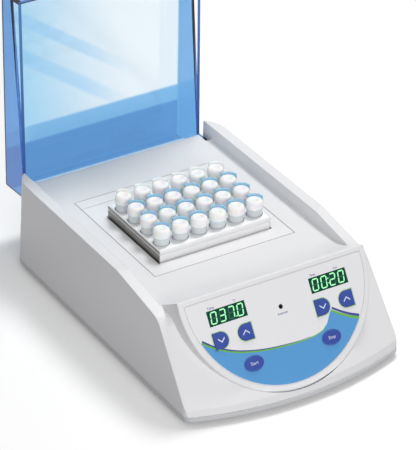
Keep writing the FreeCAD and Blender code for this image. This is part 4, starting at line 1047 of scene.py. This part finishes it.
def words(name, text, x, y, high, finish, base, rides="base"):
    """Small printed words, centred at x and y, with capitals of the given height."""
    deselect()
    bpy.ops.object.text_add()
    drawn = bpy.context.object
    drawn.name = name
    drawn.data.body = text
    drawn.data.size = high / CAPITAL_SHARE
    drawn.data.shear = SLANT
    drawn.data.offset = BOLDER
    drawn.data.align_x = "CENTER"
    drawn.data.align_y = "CENTER"
    drawn.location = (x, y, 0)
    lay(drawn, finish, base, rides, FILM_THICK)


for name, side in (("start", -1), ("stop", 1)):
    x = OVAL_X * side
    text = name.capitalize()
    words("word_" + name, text, x, OVAL_Y, KEY_WORD_HIGH, pale_ink, KEY_TOP, "button_" + name)
    gaps = (OVAL_OUTER, RING_INNER)
    rings = [ellipse(x, OVAL_Y, OVAL_LONG + g, OVAL_SHORT + g, OVAL_STEPS) for g in gaps]
    film("edge_" + name, rings, dark_ink, LINE_LIFT)
print("start and stop are marked")

# %% [markdown]
# Over each display stand two small words, one at each end, and a third over the socket of the
# probe. They are plain words for what the displays show.

# %% Words on the label
WORD_HIGH = 1.7
WORD_UP = 7.4
WORD_LEFT = 11.6
WORD_RIGHT = 8.0
PROBE_WORD_Y = -29.6
over_window = WINDOW_Y + WORD_UP
LABEL_WORDS = {
    "word_temp": ("Temp", -WINDOW_X - WORD_LEFT, over_window),
    "word_degrees": ("°C", -WINDOW_X + WORD_RIGHT, over_window),
    "word_time": ("Time", WINDOW_X - WORD_LEFT, over_window),
    "word_hours": ("h:m", WINDOW_X + WORD_RIGHT, over_window),
    "word_probe": ("External", 0, PROBE_WORD_Y),
}
print_ink = ink("print_ink", linear(96, 106, 168), linear(90, 100, 160))
for name, (text, x, y) in LABEL_WORDS.items():
    words(name, text, x, y, WORD_HIGH, print_ink, LABEL_TOP)
print("the label is printed")

# %% [markdown]
# The background is bright but the light on the object must stay plain, so the two are split. World
# and floor are white only to rays from the camera, in reflections and through glass. To all other
# rays the sky is a soft grey and the floor a darker one, which keeps the side walls from washing
# out. A weak glow of the floor, seen by those first rays only, brings its lit part to pure white.

# %% White surroundings
WORLD_LIGHT = 0.38
FLOOR_LIFT = 0.12
FLOOR_BOUNCE = linear(170, 170, 172)
FLOOR_WIDE = 8


def only_seen(tree):
    """1 for rays that show the surroundings and 0 for the rays that light the object."""
    rays = tree.nodes.new("ShaderNodeLightPath")
    total = rays.outputs["Is Camera Ray"]
    for kind in ("Is Glossy Ray", "Is Transmission Ray"):
        either = tree.nodes.new("ShaderNodeMath")
        either.operation = "MAXIMUM"
        tree.links.new(total, either.inputs[0])
        tree.links.new(rays.outputs[kind], either.inputs[1])
        total = either.outputs[0]
    return total


def studio_world():
    world = bpy.data.worlds.new("studio")
    bpy.context.scene.world = world
    world.use_nodes = True
    tree = world.node_tree
    level = tree.nodes.new("ShaderNodeMapRange")
    level.inputs["To Min"].default_value = WORLD_LIGHT
    level.inputs["To Max"].default_value = 1.0
    tree.links.new(only_seen(tree), level.inputs["Value"])
    background = tree.nodes["Background"]
    tree.links.new(level.outputs[0], background.inputs["Strength"])
    background.inputs["Color"].default_value = (1, 1, 1, 1)


def studio_floor():
    deselect()
    bpy.ops.mesh.primitive_plane_add(size=FLOOR_WIDE)
    floor = bpy.context.object
    floor.name = "studio_floor"
    paper = Finish("floor_paper", FLOOR_BOUNCE, Roughness=1.0, IOR=1.0, Emission_Strength=1.0)
    seen = only_seen(paper.tree)
    lift = (FLOOR_LIFT, FLOOR_LIFT, FLOOR_LIFT, 1)
    paper.feed("Base Color", paper.blend(seen, FLOOR_BOUNCE, (1, 1, 1, 1)))
    paper.feed("Emission Color", paper.blend(seen, (0, 0, 0, 1), lift))
    floor.data.materials.append(paper.material)


studio_world()
studio_floor()
print("sky level", WORLD_LIGHT)

# %% [markdown]
# Two lamps shape the object. A low wide one in front, a little to the left, lights the panel, the
# front and the left wall, and leaves the floor nearly alone. A smaller one hangs high behind the
# right side: it lights the deck, and draws the soft shadows to the left of the block and on the
# floor before the housing. Each is given by its place, its width and its watts.

# %% Lamps
LAMPS = {
    "front_lamp": ((-0.32, -1.22, 0.48), 0.8, 7.2),
    "top_lamp": ((0.45, 0.30, 1.18), 0.35, 7.6),
}
LAMP_AIM = Vector((0, 0, 0.05))
for name, (place, width, watts) in LAMPS.items():
    deselect()
    bpy.ops.object.light_add(type="AREA", location=place)
    lamp = bpy.context.object
    lamp.name = name
    lamp.data.size = width
    lamp.data.energy = watts
    lamp.rotation_euler = (Vector(place) - LAMP_AIM).to_track_quat("Z", "Y").to_euler()
bpy.context.scene.view_settings.view_transform = "Standard"
print("lamps:", {name: lamp[2] for name, lamp in LAMPS.items()})
